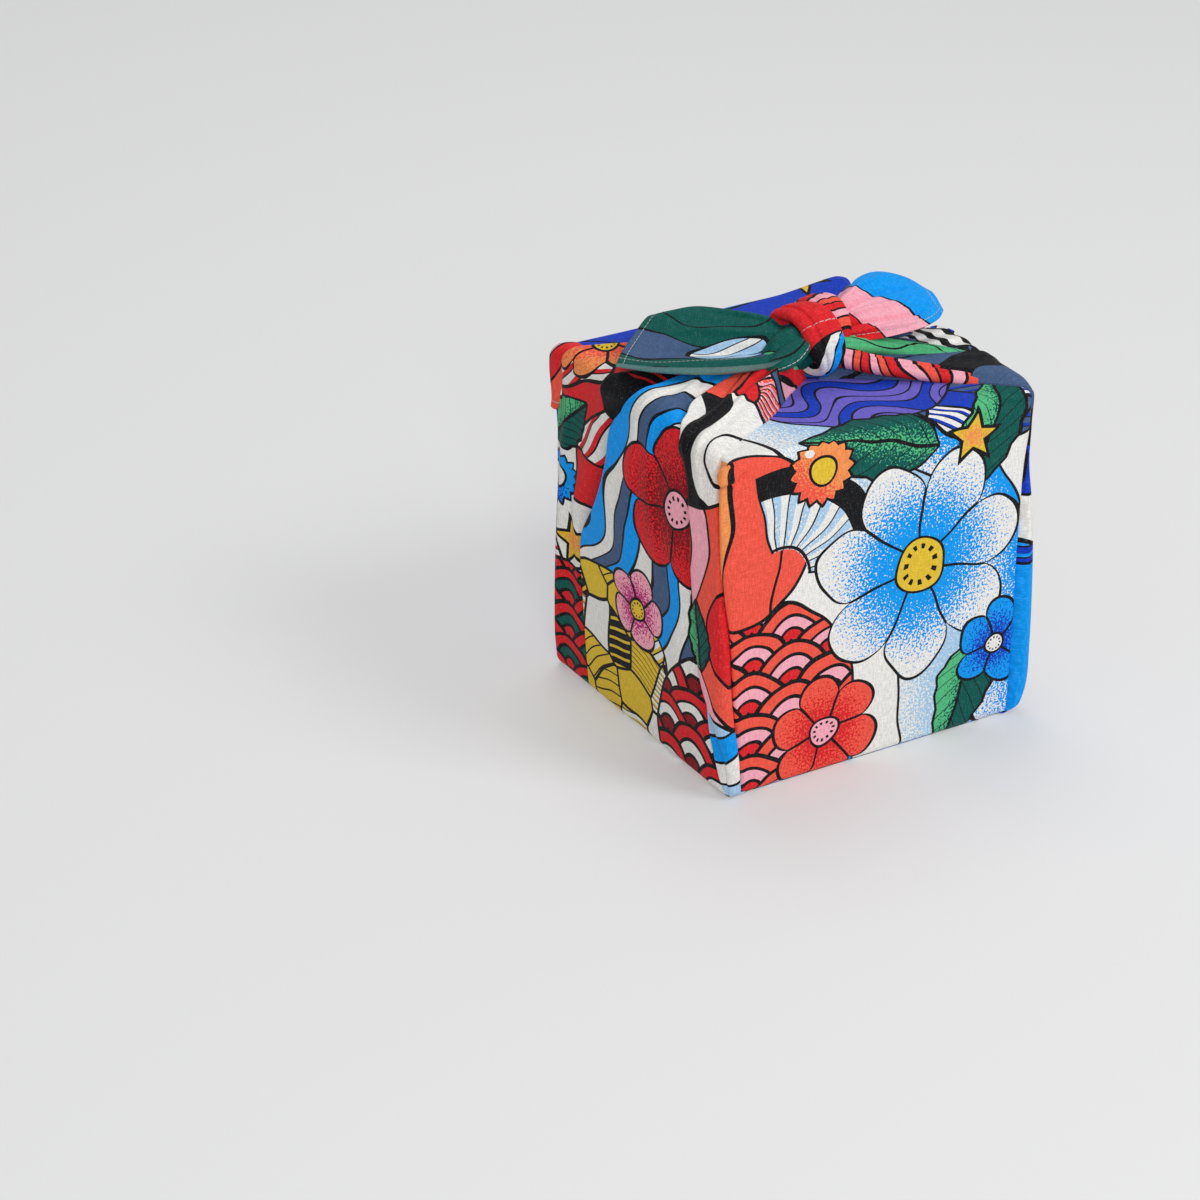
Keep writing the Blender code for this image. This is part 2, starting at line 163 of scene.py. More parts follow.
class Wire:
    """A value, vector or colour in a node tree. Arithmetic on it adds the nodes that work it out."""

    __add__, __sub__ = operator("ADD"), operator("SUBTRACT")
    __mul__, __truediv__ = operator("MULTIPLY"), operator("DIVIDE")
    __lt__, __gt__ = operator("LESS_THAN"), operator("GREATER_THAN")

    def __init__(self, tree: Tree, socket: bpy.types.NodeSocket) -> None:
        """Holds a node's output."""
        self.tree, self.socket = tree, socket

    def math(self, operation: str, *others: "Wire | float") -> "Wire":
        """The result of a Math node on this value and the others."""
        return wire(self.tree, "ShaderNodeMath", (self, *others), operation=operation)

    def size(self) -> "Wire":
        """The value without its sign."""
        return self.math("ABSOLUTE")

    def clamped(self) -> "Wire":
        """The value kept from 0 to 1."""
        return self.math("MAXIMUM", 0.0).math("MINIMUM", 1.0)

    def over(self, below: "Wire | Triple", above: "Wire | Triple") -> "Wire":
        """The colour above where this mask is 1, and the colour below where it is 0."""
        return wire(self.tree, "ShaderNodeMix", (self, *SKIPPED, below, above), 2, data_type="RGBA")


def feed(tree: Tree, made: bpy.types.Node, values: tuple) -> None:
    """Links or sets a node's inputs.

    Args:
        tree: the node's tree.
        made: the node.
        values: what its sockets get in order, None for one left as it is.
    """
    for socket, value in zip(made.inputs, values):
        if isinstance(value, Wire):
            tree.links.new(value.socket, socket)
        elif value is not None:
            socket.default_value = (*value[:3], 1.0) if socket.type == "RGBA" else value


def wire(tree: Tree, kind: str, inputs: tuple = (), output: int | str = 0, **settings: object) -> Wire:
    """Adds a node.

    Args:
        tree: the tree it goes into.
        kind: the node's type.
        inputs: what feeds its sockets in order, None for one left as it is.
        output: the output wanted.
        settings: the node's own settings.

    Returns:
        That output.
    """
    made = tree.nodes.new(kind)
    for name, value in settings.items():
        setattr(made, name, value)
    feed(tree, made, inputs)
    return Wire(tree, made.outputs[output])


def noise(place: Wire, *values: float, output: int = 0) -> Wire:
    """A flat noise at a place: its scale, detail and roughness."""
    return wire(place.tree, "ShaderNodeTexNoise", (place, None, *values), output, noise_dimensions="2D")


def moved(place: Wire, operation: str, other: "Wire | Triple") -> Wire:
    """A vector added to, taken from or multiplied by another."""
    return wire(place.tree, "ShaderNodeVectorMath", (place, other), operation=operation)


def parts(vector: Wire) -> tuple[Wire, Wire]:
    """A vector's X and Y."""
    x = wire(vector.tree, "ShaderNodeSeparateXYZ", (vector,))
    return x, Wire(vector.tree, x.socket.node.outputs[1])


class Group:
    """A shader node group that is being made, with named inputs and outputs."""

    def __init__(self, name: str, inputs: dict[str, str], outputs: dict[str, str]) -> None:
        """Starts the group.

        Args:
            name: the group's name.
            inputs: the kind of each input, Vector, Float or Color, by its name.
            outputs: the kind of each output by its name.
        """
        self.tree = bpy.data.node_groups.new(name, "ShaderNodeTree")
        for in_out, sockets in (("INPUT", inputs), ("OUTPUT", outputs)):
            for label, kind in sockets.items():
                self.tree.interface.new_socket(name=label, in_out=in_out, socket_type=f"NodeSocket{kind}")
        entry = self.tree.nodes.new("NodeGroupInput")
        self.given = {label: Wire(self.tree, entry.outputs[label]) for label in inputs}

    def give(self, **results: Wire) -> Tree:
        """Ends the group.

        Args:
            results: what goes to the outputs of the same names.

        Returns:
            The group's tree.
        """
        end = self.tree.nodes.new("NodeGroupOutput")
        for label, value in results.items():
            self.tree.links.new(value.socket, end.inputs[label])
        return self.tree


def placed(tree: Tree, group: Tree, inputs: tuple) -> dict[str, Wire]:
    """Puts a node group into a tree and feeds it.

    Args:
        tree: the tree it goes into.
        group: the group.
        inputs: what feeds its sockets in order.

    Returns:
        Its outputs by name.
    """
    made = tree.nodes.new("ShaderNodeGroup")
    made.node_tree = group
    feed(tree, made, inputs)
    return {socket.name: Wire(tree, socket) for socket in made.outputs}


# The cloth's weave and hem ------------------------------------------------------------------


@cache
def crepe() -> Tree:
    """The cloth's pebbly weave: threads both ways, broken up by fine noise, and pale flecks.

    Returns:
        The group, made once.
    """
    values = dict.fromkeys(("Height", "Fleck", "Speck", "Grain"), "Float")
    group = Group("crepe", {"Place": "Vector"}, values)
    pebbles, threads, dots, stretch = 1250.0, 1100.0, 600.0, 0.16
    place = group.given["Place"]
    pebble = noise(place, pebbles, 2.0, 0.6)
    across, up = (noise(moved(place, "MULTIPLY", way), threads, 1.0)
                  for way in ((1.0, stretch, 1.0), (stretch, 1.0, 1.0)))
    thread = across * 0.6 + up * 0.4
    spray = noise(place, dots, 1.0, 0.6)
    return group.give(
        Height=pebble * 0.6 + thread * 0.4,
        Fleck=((pebble * 0.45 + thread * 0.55 - 0.5) * 5.0 + 0.45).clamped(),
        Speck=((pebble * 0.5 + thread * 0.5 - 0.54) * 6.0).clamped(),
        Grain=((spray - 0.5) * 2.1 + 0.5).math("MAXIMUM", 0.002))


@cache
def hem_stitch() -> Tree:
    """Running stitches beside a hem: dashes where the distance to an edge is the seam's.

    Returns:
        The group, made once.
    """
    names = ("Distance", "Along", "Seam")
    group = Group("hem_stitch", dict.fromkeys(names, "Float"), {"Cover": "Float", "Height": "Float"})
    distance, along, seam = (group.given[name] for name in names)
    pitch, share, half_width, valley = 0.0031, 0.74, 0.00021, 0.0011
    off = (distance - seam).size()
    cover = (off < half_width) * ((along / pitch).math("FRACT") < share)
    return group.give(Cover=cover, Height=(off / valley).math("MINIMUM", 1.0) + cover * 0.6)


# The print's motifs -------------------------------------------------------------------------


class Ink(Enum):
    """The print's inks, as 8-bit sRGB."""

    BLACK = (21, 21, 24)
    OFF_WHITE = (237, 235, 230)
    LIGHT_BLUE = (168, 205, 236)
    SKY = (2, 154, 243)
    ROYAL = (18, 60, 188)
    PURPLE = (108, 98, 200)
    SLATE = (70, 94, 132)
    TEAL = (6, 88, 80)
    MINT = (84, 188, 128)
    YELLOW = (228, 192, 54)
    ORANGE = (246, 148, 84)
    TOMATO = (242, 88, 70)
    RED = (222, 36, 42)
    CRIMSON = (138, 14, 26)
    MAGENTA = (196, 44, 128)
    PINK = (248, 172, 188)

    @property
    def linear(self) -> Triple:
        """The ink in linear light, by the sRGB curve.

        Returns:
            Its red, green and blue from 0 to 1.
        """
        share = np.array(self.value) / 255
        low, high = share / 12.92, ((share + 0.055) / 1.055) ** 2.4
        return tuple(float(x) for x in np.where(share <= 0.04045, low, high))


PALE, DARK = Ink.OFF_WHITE.linear, Ink.BLACK.linear


class Stencil(Group):
    """A print motif as a node group: a place, the grain and inks go in, a colour and cover come out.

    The motif is drawn round the origin at a size of about 1. Line is its outline's width, Form
    one number of its own, and Reach how far a pattern that has no end of its own goes.
    """

    def __init__(self, name: str) -> None:
        """Starts the group and reads its inputs.

        Args:
            name: the motif's name.
        """
        numbers, inks = ("Grain", "Line", "Form", "Reach", "Spray"), ("First", "Second", "Third")
        sockets = {"Place": "Vector"} | dict.fromkeys(numbers, "Float") | dict.fromkeys(inks, "Color")
        super().__init__(name, sockets, {"Colour": "Color", "Cover": "Float"})
        self.place, self.grain, line, self.form, self.reach, self.spray, *self.inks = self.given.values()
        self.first, self.second, self.third = self.inks
        self.x, self.y = parts(self.place)
        self.line = line * 0.5

    def radius(self) -> Wire:
        """The distance from the origin."""
        return self.distance(0.0, 0.0)

    def angle(self) -> Wire:
        """The angle round the origin, in radians."""
        return self.y.math("ARCTAN2", self.x)

    def distance(self, x: float, y: float) -> Wire:
        """The distance from a point."""
        ends = (self.place, (x, y, 0.0))
        return wire(self.tree, "ShaderNodeVectorMath", ends, 1, operation="DISTANCE")

    def sprayed(self, amount: Wire, from_ink: Wire | Triple, to_ink: Wire | Triple) -> Wire:
        """Two inks mixed as dots: more of the second, where amount is nearer 1."""
        return (self.grain < amount * self.spray).over(from_ink, to_ink)

    def finish(self, colour: Wire, cover: Wire, *lines: Wire) -> None:
        """Draws the lines in black over the colour and gives the group its outputs.

        Args:
            colour: the motif's colours.
            cover: 1 where the motif is, else 0.
            lines: masks of its black lines.
        """
        drawn = lines[0]
        for other in lines[1:]:
            drawn = drawn.math("MAXIMUM", other)
        self.give(Colour=drawn.over(colour, DARK), Cover=cover)

    def patch(self, colour: Wire, *lines: Wire) -> None:
        """Finishes a pattern that has no end of its own as a round patch of radius Reach."""
        off = self.radius() - self.reach
        self.finish(colour, off < self.line, *lines, off.size() < self.line)


def blossom(cut: Stencil) -> None:
    """A flower with Form petals. Its edge is at 0.66 + 0.34 |cos(Form w / 2)|^0.7 of its size.

    Args:
        cut: the group that it is drawn in.
    """
    r, heart = cut.radius(), 0.24
    lobe = (cut.angle() * cut.form * 0.5).math("COSINE").size()
    off = r - (lobe.math("POWER", 0.7) * 0.34 + 0.66)
    petal = cut.sprayed(r * -1.15 + 1.12, cut.first, cut.second)
    gap = (lobe * r * 2.0 / cut.form < cut.line * 0.8) * (r > heart)
    ring = (r - heart).size() < cut.line * 0.8
    dots = ((cut.angle() * 11.0).math("COSINE") > 0.2) * ((r - 0.15).size() < 0.025)
    cut.finish((r < heart).over(petal, cut.third), off < cut.line, gap, off.size() < cut.line, ring, dots)


def leaf(cut: Stencil) -> None:
    """A toothed leaf along X from -1 to 1, Form (1 - x^2) high either side, with rib and veins.

    Args:
        cut: the group that it is drawn in.
    """
    up = cut.y.size()
    teeth = (cut.x * 6.0).math("PINGPONG", 1.0) * 0.10 + 0.95
    half = (cut.x * cut.x * -1.0 + 1.0) * (cut.x * -0.3 + 1.1) * teeth * cut.form
    flesh = cut.sprayed(up * -2.2 + 0.62, (cut.y > 0.0).over(cut.first, cut.second), cut.third)
    vein = ((cut.x * 4.0 - up * 4.5).math("FRACT") - 0.5).size() < cut.line * 1.6
    inside = (up - half < cut.line) * (cut.x.size() < 1.0)
    cut.finish(flesh, inside, vein * (up < half), up < cut.line, (up - half).size() < cut.line)


def flow(cut: Stencil) -> None:
    """Wavy bands along X, 1 high, in three inks in turn, bent by Form sin 1.2x and a slow noise.

    Args:
        cut: the group that it is drawn in.
    """
    up = cut.y + (cut.x * 1.2).math("SINE") * cut.form + noise(cut.place, 0.28, 0.0) * 2.0
    turn = up.math("FLOOR").math("FLOORED_MODULO", 3.0)
    band = (turn > 1.5).over((turn > 0.5).over(cut.first, cut.second), cut.third)
    share = up.math("FRACT")
    line = (share - 0.5).size() > cut.line * -1.0 + 0.5
    cut.patch(cut.sprayed(share * 0.75 - 0.05, band, PALE), line)


def ball(cut: Stencil) -> None:
    """A round with a toothed edge of height Form, an inner ring, sprayed shade and a glint.

    Args:
        cut: the group that it is drawn in.
    """
    r, heart = cut.radius(), 0.42
    off = r + (cut.angle() * 16 / np.pi).math("PINGPONG", 1.0) * cut.form - 1.0
    skin = cut.sprayed((cut.x + cut.y) * -0.55 + 0.30, cut.first, cut.second)
    skin = (cut.distance(-0.42, 0.55) < 0.13).over((r < heart).over(skin, cut.third), PALE)
    cut.finish(skin, off < cut.line, off.size() < cut.line, (r - heart).size() < cut.line * 0.8)


def waves(cut: Stencil) -> None:
    """Rows of round scales, half a radius apart and staggered, each a set of rings.

    Of the scales of three rows that may reach a point, the lowest one that does covers it.

    Args:
        cut: the group that they are drawn in.
    """
    row, rings = (cut.y * 2.0).math("FLOOR"), 3.2
    reach = None
    for step in (1.0, 0.0, -1.0):
        across = (cut.x - (row - step).math("FLOORED_MODULO", 2.0)).math("WRAP", 1.0, -1.0)
        up = cut.y - (row - step) * 0.5
        far = (across * across + up * up).math("SQRT")
        reach = far if reach is None else wire(cut.tree, "ShaderNodeMix", (reach > 1.0, None, reach, far))
    ring = (reach * rings).math("FLOOR").math("FLOORED_MODULO", 2.0)
    skin = (reach < 0.32).over((ring > 0.5).over(cut.first, cut.second), cut.third)
    line = ((reach * rings).math("FRACT") - 0.5).size() > cut.line * -rings + 0.5
    cut.patch(cut.sprayed(reach * 0.7 - 0.2, skin, PALE), line, (reach - 1.0).size() < cut.line)


def cloud(cut: Stencil) -> None:
    """A cloud of four rounds, whose nearest edge is the smallest of the distances less radii.

    Args:
        cut: the group that it is drawn in.
    """
    off, *others = (cut.distance(x, y) - radius for x, y, radius in (
        (-0.62, -0.05, 0.36), (-0.12, 0.20, 0.46), (0.48, 0.02, 0.42), (0.0, -0.22, 0.34)))
    for other in others:
        off = off.math("MINIMUM", other)
    skin = cut.sprayed(cut.y * -0.9 + 0.34, cut.first, cut.second)
    curl = ((cut.distance(0.30, 0.02) - 0.22).size() < cut.line * 0.8) * (cut.y > -0.08)
    cut.finish(skin, off < cut.line, off.size() < cut.line, curl)


def patchwork(cut: Stencil) -> None:
    """Odd cells about 1 wide, each in one of the inks or off-white, some with stripes.

    Args:
        cut: the group that it is drawn in.
    """
    at, kind = (cut.place, None, 1.0), "ShaderNodeTexVoronoi"
    cell = wire(cut.tree, kind, at, "Color", voronoi_dimensions="2D")
    edge = wire(cut.tree, kind, at, voronoi_dimensions="2D", feature="DISTANCE_TO_EDGE")
    pick, other = parts(cell)
    ink = PALE
    for share, colour in zip((0.30, 0.56, 0.80), cut.inks):
        ink = (pick > share).over(ink, colour)
    slant = ((cut.x * (other - 0.5) * 3.0 + cut.y) * 4.0).math("FRACT")
    striped = other > 0.45
    ink = ((slant > 0.62) * striped).over(ink, cut.second)
    cut.patch(ink, edge < cut.line, ((slant - 0.62).size() < cut.line * 2.0) * striped)


def fan(cut: Stencil) -> None:
    """An open fan: a ring from 0.32 to 1 over Form radians each way, folded into ribs.

    Args:
        cut: the group that it is drawn in.
    """
    r, w, brim, inner = cut.radius(), cut.angle().size(), 0.80, 0.32
    rib = (cut.angle() * 4.5).math("FRACT")
    skin = cut.sprayed(r * -1.0 + 0.92, (rib > 0.5).over(cut.first, cut.second), PALE)
    skin = (r > brim).over(skin, cut.third)
    inside = (r < cut.line + 1.0) * (r > 0.30) * (w < cut.form)
    rims = ((r - edge).size() < cut.line for edge in (1.0, inner, brim))
    side = (w - cut.form).size() * r < cut.line * 1.4
    fold = ((rib - 0.5).size() * r < cut.line * 2.0) * (r < brim)
    cut.finish(skin, inside, side, fold, *rims)


def star(cut: Stencil) -> None:
    """A five-pointed star: folded to a tenth of a turn, its edge is one straight line.

    Args:
        cut: the group that it is drawn in.
    """
    r = cut.radius()
    tip = ((cut.angle() * 5.0 / np.pi).math("PINGPONG", 1.0)) * (np.pi / 5)
    off = r * tip.math("COSINE") * 0.384 + r * tip.math("SINE") * 0.9233 - 0.384
    skin = cut.sprayed(r * -1.2 + 0.9, cut.first, cut.second)
    cut.finish(skin, off < cut.line, off.size() < cut.line)


class Motif(Enum):
    """The motifs that a print is made of."""

    BLOSSOM = "blossom"
    LEAF = "leaf"
    FLOW = "flow"
    BALL = "ball"
    WAVES = "waves"
    CLOUD = "cloud"
    PATCHWORK = "patchwork"
    FAN = "fan"
    STAR = "star"


DRAWN_BY = dict(zip(Motif, (blossom, leaf, flow, ball, waves, cloud, patchwork, fan, star)))


@cache
def stencil(motif: Motif) -> Tree:
    """Draws a motif.

    Args:
        motif: the motif.

    Returns:
        Its node group, made once.
    """
    cut = Stencil(motif.value)
    DRAWN_BY[motif](cut)
    return cut.tree


# The prints ---------------------------------------------------------------------------------


@dataclass(frozen=True)
class Stamp:
    """One motif on the cloth: where, how large, how turned, in which inks. Millimetres and degrees.

    The inks are the names of three Inks. Stretch lengthens the motif along its own X.
    """

    motif: Motif
    across: float
    up: float
    size: float
    turn: float
    inks: str
    form: float = 0.5
    reach: float = 50.0
    line: float = 2.4
    spray: float = 1.0
    stretch: float = 1.0

    def over(self, colour: Wire | Triple, place: Wire, grain: Wire) -> Wire:
        """Lays the motif over what is below it.

        Args:
            colour: the colour below.
            place: the place on the flat cloth.
            grain: the grain that the spray's dots come from.

        Returns:
            The colour with the motif on it.
        """
        turn = (0.0, 0.0, float(np.radians(self.turn)))
        scale = (self.size * MM * self.stretch, self.size * MM, 1.0)
        frame_of = (place, (self.across * MM, self.up * MM, 0.0), turn, scale)
        local = wire(place.tree, "ShaderNodeMapping", frame_of, vector_type="TEXTURE")
        numbers = (grain, self.line / self.size, self.form, self.reach, self.spray)
        inks = (Ink[name].linear for name in self.inks.split())
        made = placed(place.tree, stencil(self.motif), (local, *numbers, *inks))
        return made["Cover"].over(colour, made["Colour"])


@dataclass(frozen=True)
class PrintedCloth:
    """A region's finish: its motifs, lowest first, on crepe with a soft sheen.

    Fade is how much of the print is lost to the undyed colour, as on the cloth's reverse. Hemmed
    cloth has stitches beside its hems.
    """

    name: str
    stamps: tuple[Stamp, ...]
    ground: Ink = Ink.OFF_WHITE
    hemmed: bool = False
    fade: float = 0.0
    undyed: Triple = (0.55, 0.57, 0.57)
    thread: Triple = (0.62, 0.60, 0.56)
    roughness: float = 0.56
    fleck_roughness: float = 0.12
    specular: float = 0.09
    sheen: float = 0.02
    sheen_roughness: float = 0.45
    speck_cover: float = 0.09
    shade: float = 0.84
    fleck_shade: float = 0.26
    wander: float = 0.006
    wander_scale: float = 34.0
    bump_strength: float = 0.8
    weave_height: float = 0.00022
    hem_height: float = 0.0004

    def material(self) -> bpy.types.Material:
        """Makes the material.

        Returns:
            A Principled surface whose colour, roughness and bump come from the groups.
        """
        made = bpy.data.materials.new(self.name)
        made.use_nodes = True
        tree = made.node_tree
        surface = tree.nodes["Principled BSDF"]
        surface.inputs["Sheen Weight"].default_value = self.sheen
        surface.inputs["Sheen Roughness"].default_value = self.sheen_roughness
        surface.inputs["Specular IOR Level"].default_value = self.specular
        place = wire(tree, "ShaderNodeUVMap", uv_map="cloth")
        weave = placed(tree, crepe(), (place,))
        shift = moved(noise(place, self.wander_scale, 0.0, output=1), "SUBTRACT", (0.5, 0.5, 0.5))
        drawn = moved(place, "ADD", moved(shift, "MULTIPLY", (self.wander, self.wander, 0.0)))
        colour = self.ground.linear
        for stamp in self.stamps:
            colour = stamp.over(colour, drawn, weave["Grain"])
        colour = (weave["Speck"] * self.speck_cover + self.fade).over(colour, self.undyed)
        dusk = (1.0, *SKIPPED, colour, weave["Fleck"] * self.fleck_shade + self.shade)
        colour = wire(tree, "ShaderNodeMix", dusk, 2, data_type="RGBA", blend_type="MULTIPLY")
        relief = weave["Height"] * self.weave_height
        if self.hemmed:
            colour, relief = self.stitched(tree, colour, relief)
        bump = wire(tree, "ShaderNodeBump", (self.bump_strength, 1.0))
        tree.links.new(relief.socket, bump.socket.node.inputs["Height"])
        rough = weave["Fleck"] * self.fleck_roughness + self.roughness
        for name, value in (("Base Color", colour), ("Roughness", rough), ("Normal", bump)):
            tree.links.new(value.socket, surface.inputs[name])
        return made

    def stitched(self, tree: Tree, colour: Wire, relief: Wire) -> tuple[Wire, Wire]:
        """Adds the two hems' stitches, read from the hem map.

        Args:
            tree: the material's tree.
            colour: the colour so far.
            relief: the height so far, in metres.

        Returns:
            The colour and the height with the stitches.
        """
        side, end = parts(wire(tree, "ShaderNodeUVMap", uv_map="hem"))
        for distance, along in ((side, end), (end, side)):
            seam = placed(tree, hem_stitch(), (distance, along, HEM_WIDTH))
            colour = seam["Cover"].over(colour, self.thread)
            relief = relief + seam["Height"] * self.hem_height
        return colour, relief


FRONT_PRINT = PrintedCloth("front_print", (
    Stamp(Motif.FLOW, -20, 20, 52, 118, "OFF_WHITE SKY LIGHT_BLUE"),
    Stamp(Motif.PATCHWORK, 95, 290, 34, 20, "SLATE ROYAL TEAL", reach=2.4),
    Stamp(Motif.FLOW, 12, 322, 12.5, 8, "PURPLE PURPLE ROYAL", 1, 6.2, 2, 0),
    Stamp(Motif.WAVES, -98, 60, 30, 0, "TOMATO PINK RED", reach=2.6, spray=0),
    Stamp(Motif.FLOW, -112, 186, 46, 96, "TOMATO ORANGE TOMATO", 0.4, 1.35, spray=0),
    Stamp(Motif.FAN, -80, 150, 78, 50, "LIGHT_BLUE OFF_WHITE BLACK", 0.95, spray=0.6),
    Stamp(Motif.LEAF, -10, 232, 55, 165, "TEAL TEAL MINT", 0.42),
    Stamp(Motif.LEAF, 86, 226, 50, 70, "TEAL MINT TEAL", 0.4),
    Stamp(Motif.LEAF, 70, 30, 50, 250, "MINT TEAL TEAL", 0.4),
    Stamp(Motif.BLOSSOM, 30, 135, 82, 12, "OFF_WHITE SKY YELLOW", 7, spray=1.3),
    Stamp(Motif.BLOSSOM, -40, 30, 44, 40, "TOMATO RED PINK", 6),
    Stamp(Motif.BLOSSOM, 95, 60, 32, 5, "SKY ROYAL OFF_WHITE", 5),
    Stamp(Motif.BALL, -48, 220, 24, 0, "ORANGE TOMATO YELLOW", 0.16),
    Stamp(Motif.STAR, 70, 216, 20, 15, "YELLOW ORANGE RED"),
))
LEFT_MAIN_PRINT = PrintedCloth("left_main_print", (
    Stamp(Motif.FLOW, 0, 0, 17, 66, "OFF_WHITE SKY SLATE", 0.4, spray=0),
    Stamp(Motif.PATCHWORK, -30, 30, 30, 35, "YELLOW YELLOW BLACK", reach=2.6),
    Stamp(Motif.WAVES, 100, 20, 30, 0, "RED OFF_WHITE CRIMSON", reach=2.4, spray=0),
    Stamp(Motif.BLOSSOM, 50, 185, 56, 84, "RED CRIMSON PINK", 5),
    Stamp(Motif.LEAF, 82, 112, 40, 100, "TEAL MINT TEAL", 0.4),
    Stamp(Motif.BLOSSOM, 4, 95, 30, 0, "PINK MAGENTA YELLOW", 5),
    Stamp(Motif.FAN, 50, 290, 40, 60, "TOMATO PINK SLATE", 0.9, spray=0.4),
))
LEFT_FRONT_PRINT = PrintedCloth("left_front_print", (
    Stamp(Motif.FLOW, 0, 0, 23, 98, "RED TOMATO PINK", spray=0),
    Stamp(Motif.FLOW, 90, 10, 20, 20, "LIGHT_BLUE OFF_WHITE SKY", reach=2.6, spray=0),
    Stamp(Motif.FLOW, 70, 245, 20, 130, "OFF_WHITE BLACK OFF_WHITE", 0.8, 2.3, spray=0),
    Stamp(Motif.FAN, 48, 288, 34, 60, "TOMATO PINK SLATE", 0.9, spray=0.3),
    Stamp(Motif.LEAF, 86, 112, 26, 100, "TEAL MINT TEAL", 0.4),
))
RIGHT_FRONT_PRINT = PrintedCloth("right_front_print", (
    Stamp(Motif.FLOW, 0, 0, 20, 80, "SLATE BLACK SLATE", 0.6, spray=0),
    Stamp(Motif.PATCHWORK, -100, 110, 30, 15, "ROYAL SKY TEAL", reach=3),
    Stamp(Motif.FLOW, -100, 30, 45, 80, "ROYAL SKY SLATE", 0.4, 1.9, spray=0),
))
CORNER_PRINT = PrintedCloth("corner_print", (
    Stamp(Motif.FLOW, 0, 0, 16, 70, "RED PINK TOMATO", spray=0),
), hemmed=True)
LEFT_BACK_PRINT = PrintedCloth("left_back_print", (
    Stamp(Motif.PATCHWORK, 0, 0, 40, 60, "OFF_WHITE RED BLACK"),
    Stamp(Motif.LEAF, -88, 195, 30, 40, "TEAL MINT TEAL"),
    Stamp(Motif.BLOSSOM, -80, 262, 34, 0, "ORANGE TOMATO YELLOW", 6),
    Stamp(Motif.BALL, -100, 150, 20, 0, "SKY ROYAL OFF_WHITE", 0.2),
    Stamp(Motif.STAR, -84, 105, 20, 30, "YELLOW ORANGE RED"),
    Stamp(Motif.WAVES, -90, 30, 26, 0, "RED TEAL RED", reach=2.2, spray=0),
))
RIGHT_MAIN_PRINT = PrintedCloth("right_main_print", (
    Stamp(Motif.PATCHWORK, 0, 0, 42, 15, "SLATE ROYAL SKY"),
    Stamp(Motif.LEAF, -40, 170, 60, 100, "TEAL MINT TEAL", 0.4),
    Stamp(Motif.BLOSSOM, 0, 80, 45, 0, "PINK RED YELLOW", 6),
    Stamp(Motif.CLOUD, -70, 60, 40, 0, "OFF_WHITE LIGHT_BLUE SKY"),
    Stamp(Motif.STAR, -30, 225, 20, 0, "YELLOW ORANGE RED"),
    Stamp(Motif.PATCHWORK, -60, 320, 60, 40, "SLATE BLACK SLATE", reach=1.4),
))
RIGHT_BACK_PRINT = PrintedCloth("right_back_print", (
    Stamp(Motif.FLOW, 0, 0, 16, 60, "BLACK SLATE PINK", 0.9, spray=0),
    Stamp(Motif.BLOSSOM, 80, 190, 36, 0, "ORANGE TOMATO YELLOW", 5),
    Stamp(Motif.LEAF, 75, 100, 45, 60, "TEAL TEAL MINT", 0.45),
))
BACK_PRINT = PrintedCloth("back_print", (
    Stamp(Motif.FLOW, 0, 0, 50, -20, "ROYAL SKY ROYAL", 0.6, spray=0),
    Stamp(Motif.FAN, -45, 150, 75, 100, "TOMATO OFF_WHITE SLATE", 1, spray=0.5),
    Stamp(Motif.BLOSSOM, 55, 85, 60, 0, "PINK MAGENTA YELLOW", 6),
    Stamp(Motif.LEAF, 80, 170, 50, 120, "TEAL MINT TEAL", 0.4),
    Stamp(Motif.LEAF, -50, 50, 55, 200, "MINT TEAL TEAL", 0.4),
    Stamp(Motif.CLOUD, 35, 215, 50, 0, "OFF_WHITE LIGHT_BLUE SKY"),
    Stamp(Motif.BLOSSOM, -20, 330, 45, 0, "RED CRIMSON YELLOW", 6),
    Stamp(Motif.STAR, -85, 235, 22, 0, "YELLOW ORANGE RED"),
))
BASE_PRINT = PrintedCloth("base_print", (
    Stamp(Motif.PATCHWORK, 0, 0, 50, 0, "TEAL SKY YELLOW"),
    Stamp(Motif.BLOSSOM, 0, 0, 80, 0, "PINK RED YELLOW", 6),
))
GREEN_TAIL_PRINT = PrintedCloth("green_tail_print", (
    Stamp(Motif.FLOW, 0, 16, 22, 5, "TEAL SLATE TEAL", 0.25, line=1.6, spray=0),
    Stamp(Motif.FLOW, 48, 38, 9.5, 4, "LIGHT_BLUE OFF_WHITE LIGHT_BLUE", 0.6, 1.35, 1.3, 0, 2.3),
), hemmed=True)
PINK_TAIL_PRINT = PrintedCloth("pink_tail_print", (
    Stamp(Motif.FLOW, 25.5, 16, 36, 122, "PINK RED SKY", 0.2, line=1.6, spray=0),
), hemmed=True)
GREEN_REVERSE_PRINT = PrintedCloth("green_reverse_print", GREEN_TAIL_PRINT.stamps, fade=0.5,
                                   undyed=(0.30, 0.52, 0.50))
PINK_REVERSE_PRINT = PrintedCloth("pink_reverse_print", PINK_TAIL_PRINT.stamps, fade=0.45,
                                  undyed=(0.80, 0.62, 0.66))
GREEN_ROPE_PRINT = PrintedCloth("green_rope_print", (
    Stamp(Motif.FLOW, 0, 0, 11, 2, "MINT MINT MINT", 0.3, line=1.2, spray=0),
))
RED_ROPE_PRINT = PrintedCloth("red_rope_print", (
    Stamp(Motif.FLOW, 0, 0, 7.5, 66, "RED TOMATO PINK", 0.3, line=1.8, spray=0),
))
BLUE_ROPE_PRINT = PrintedCloth("blue_rope_print", (
    Stamp(Motif.FLOW, 0, 0, 10, 20, "SLATE BLACK PINK", 0.3, line=1.2, spray=0),
))
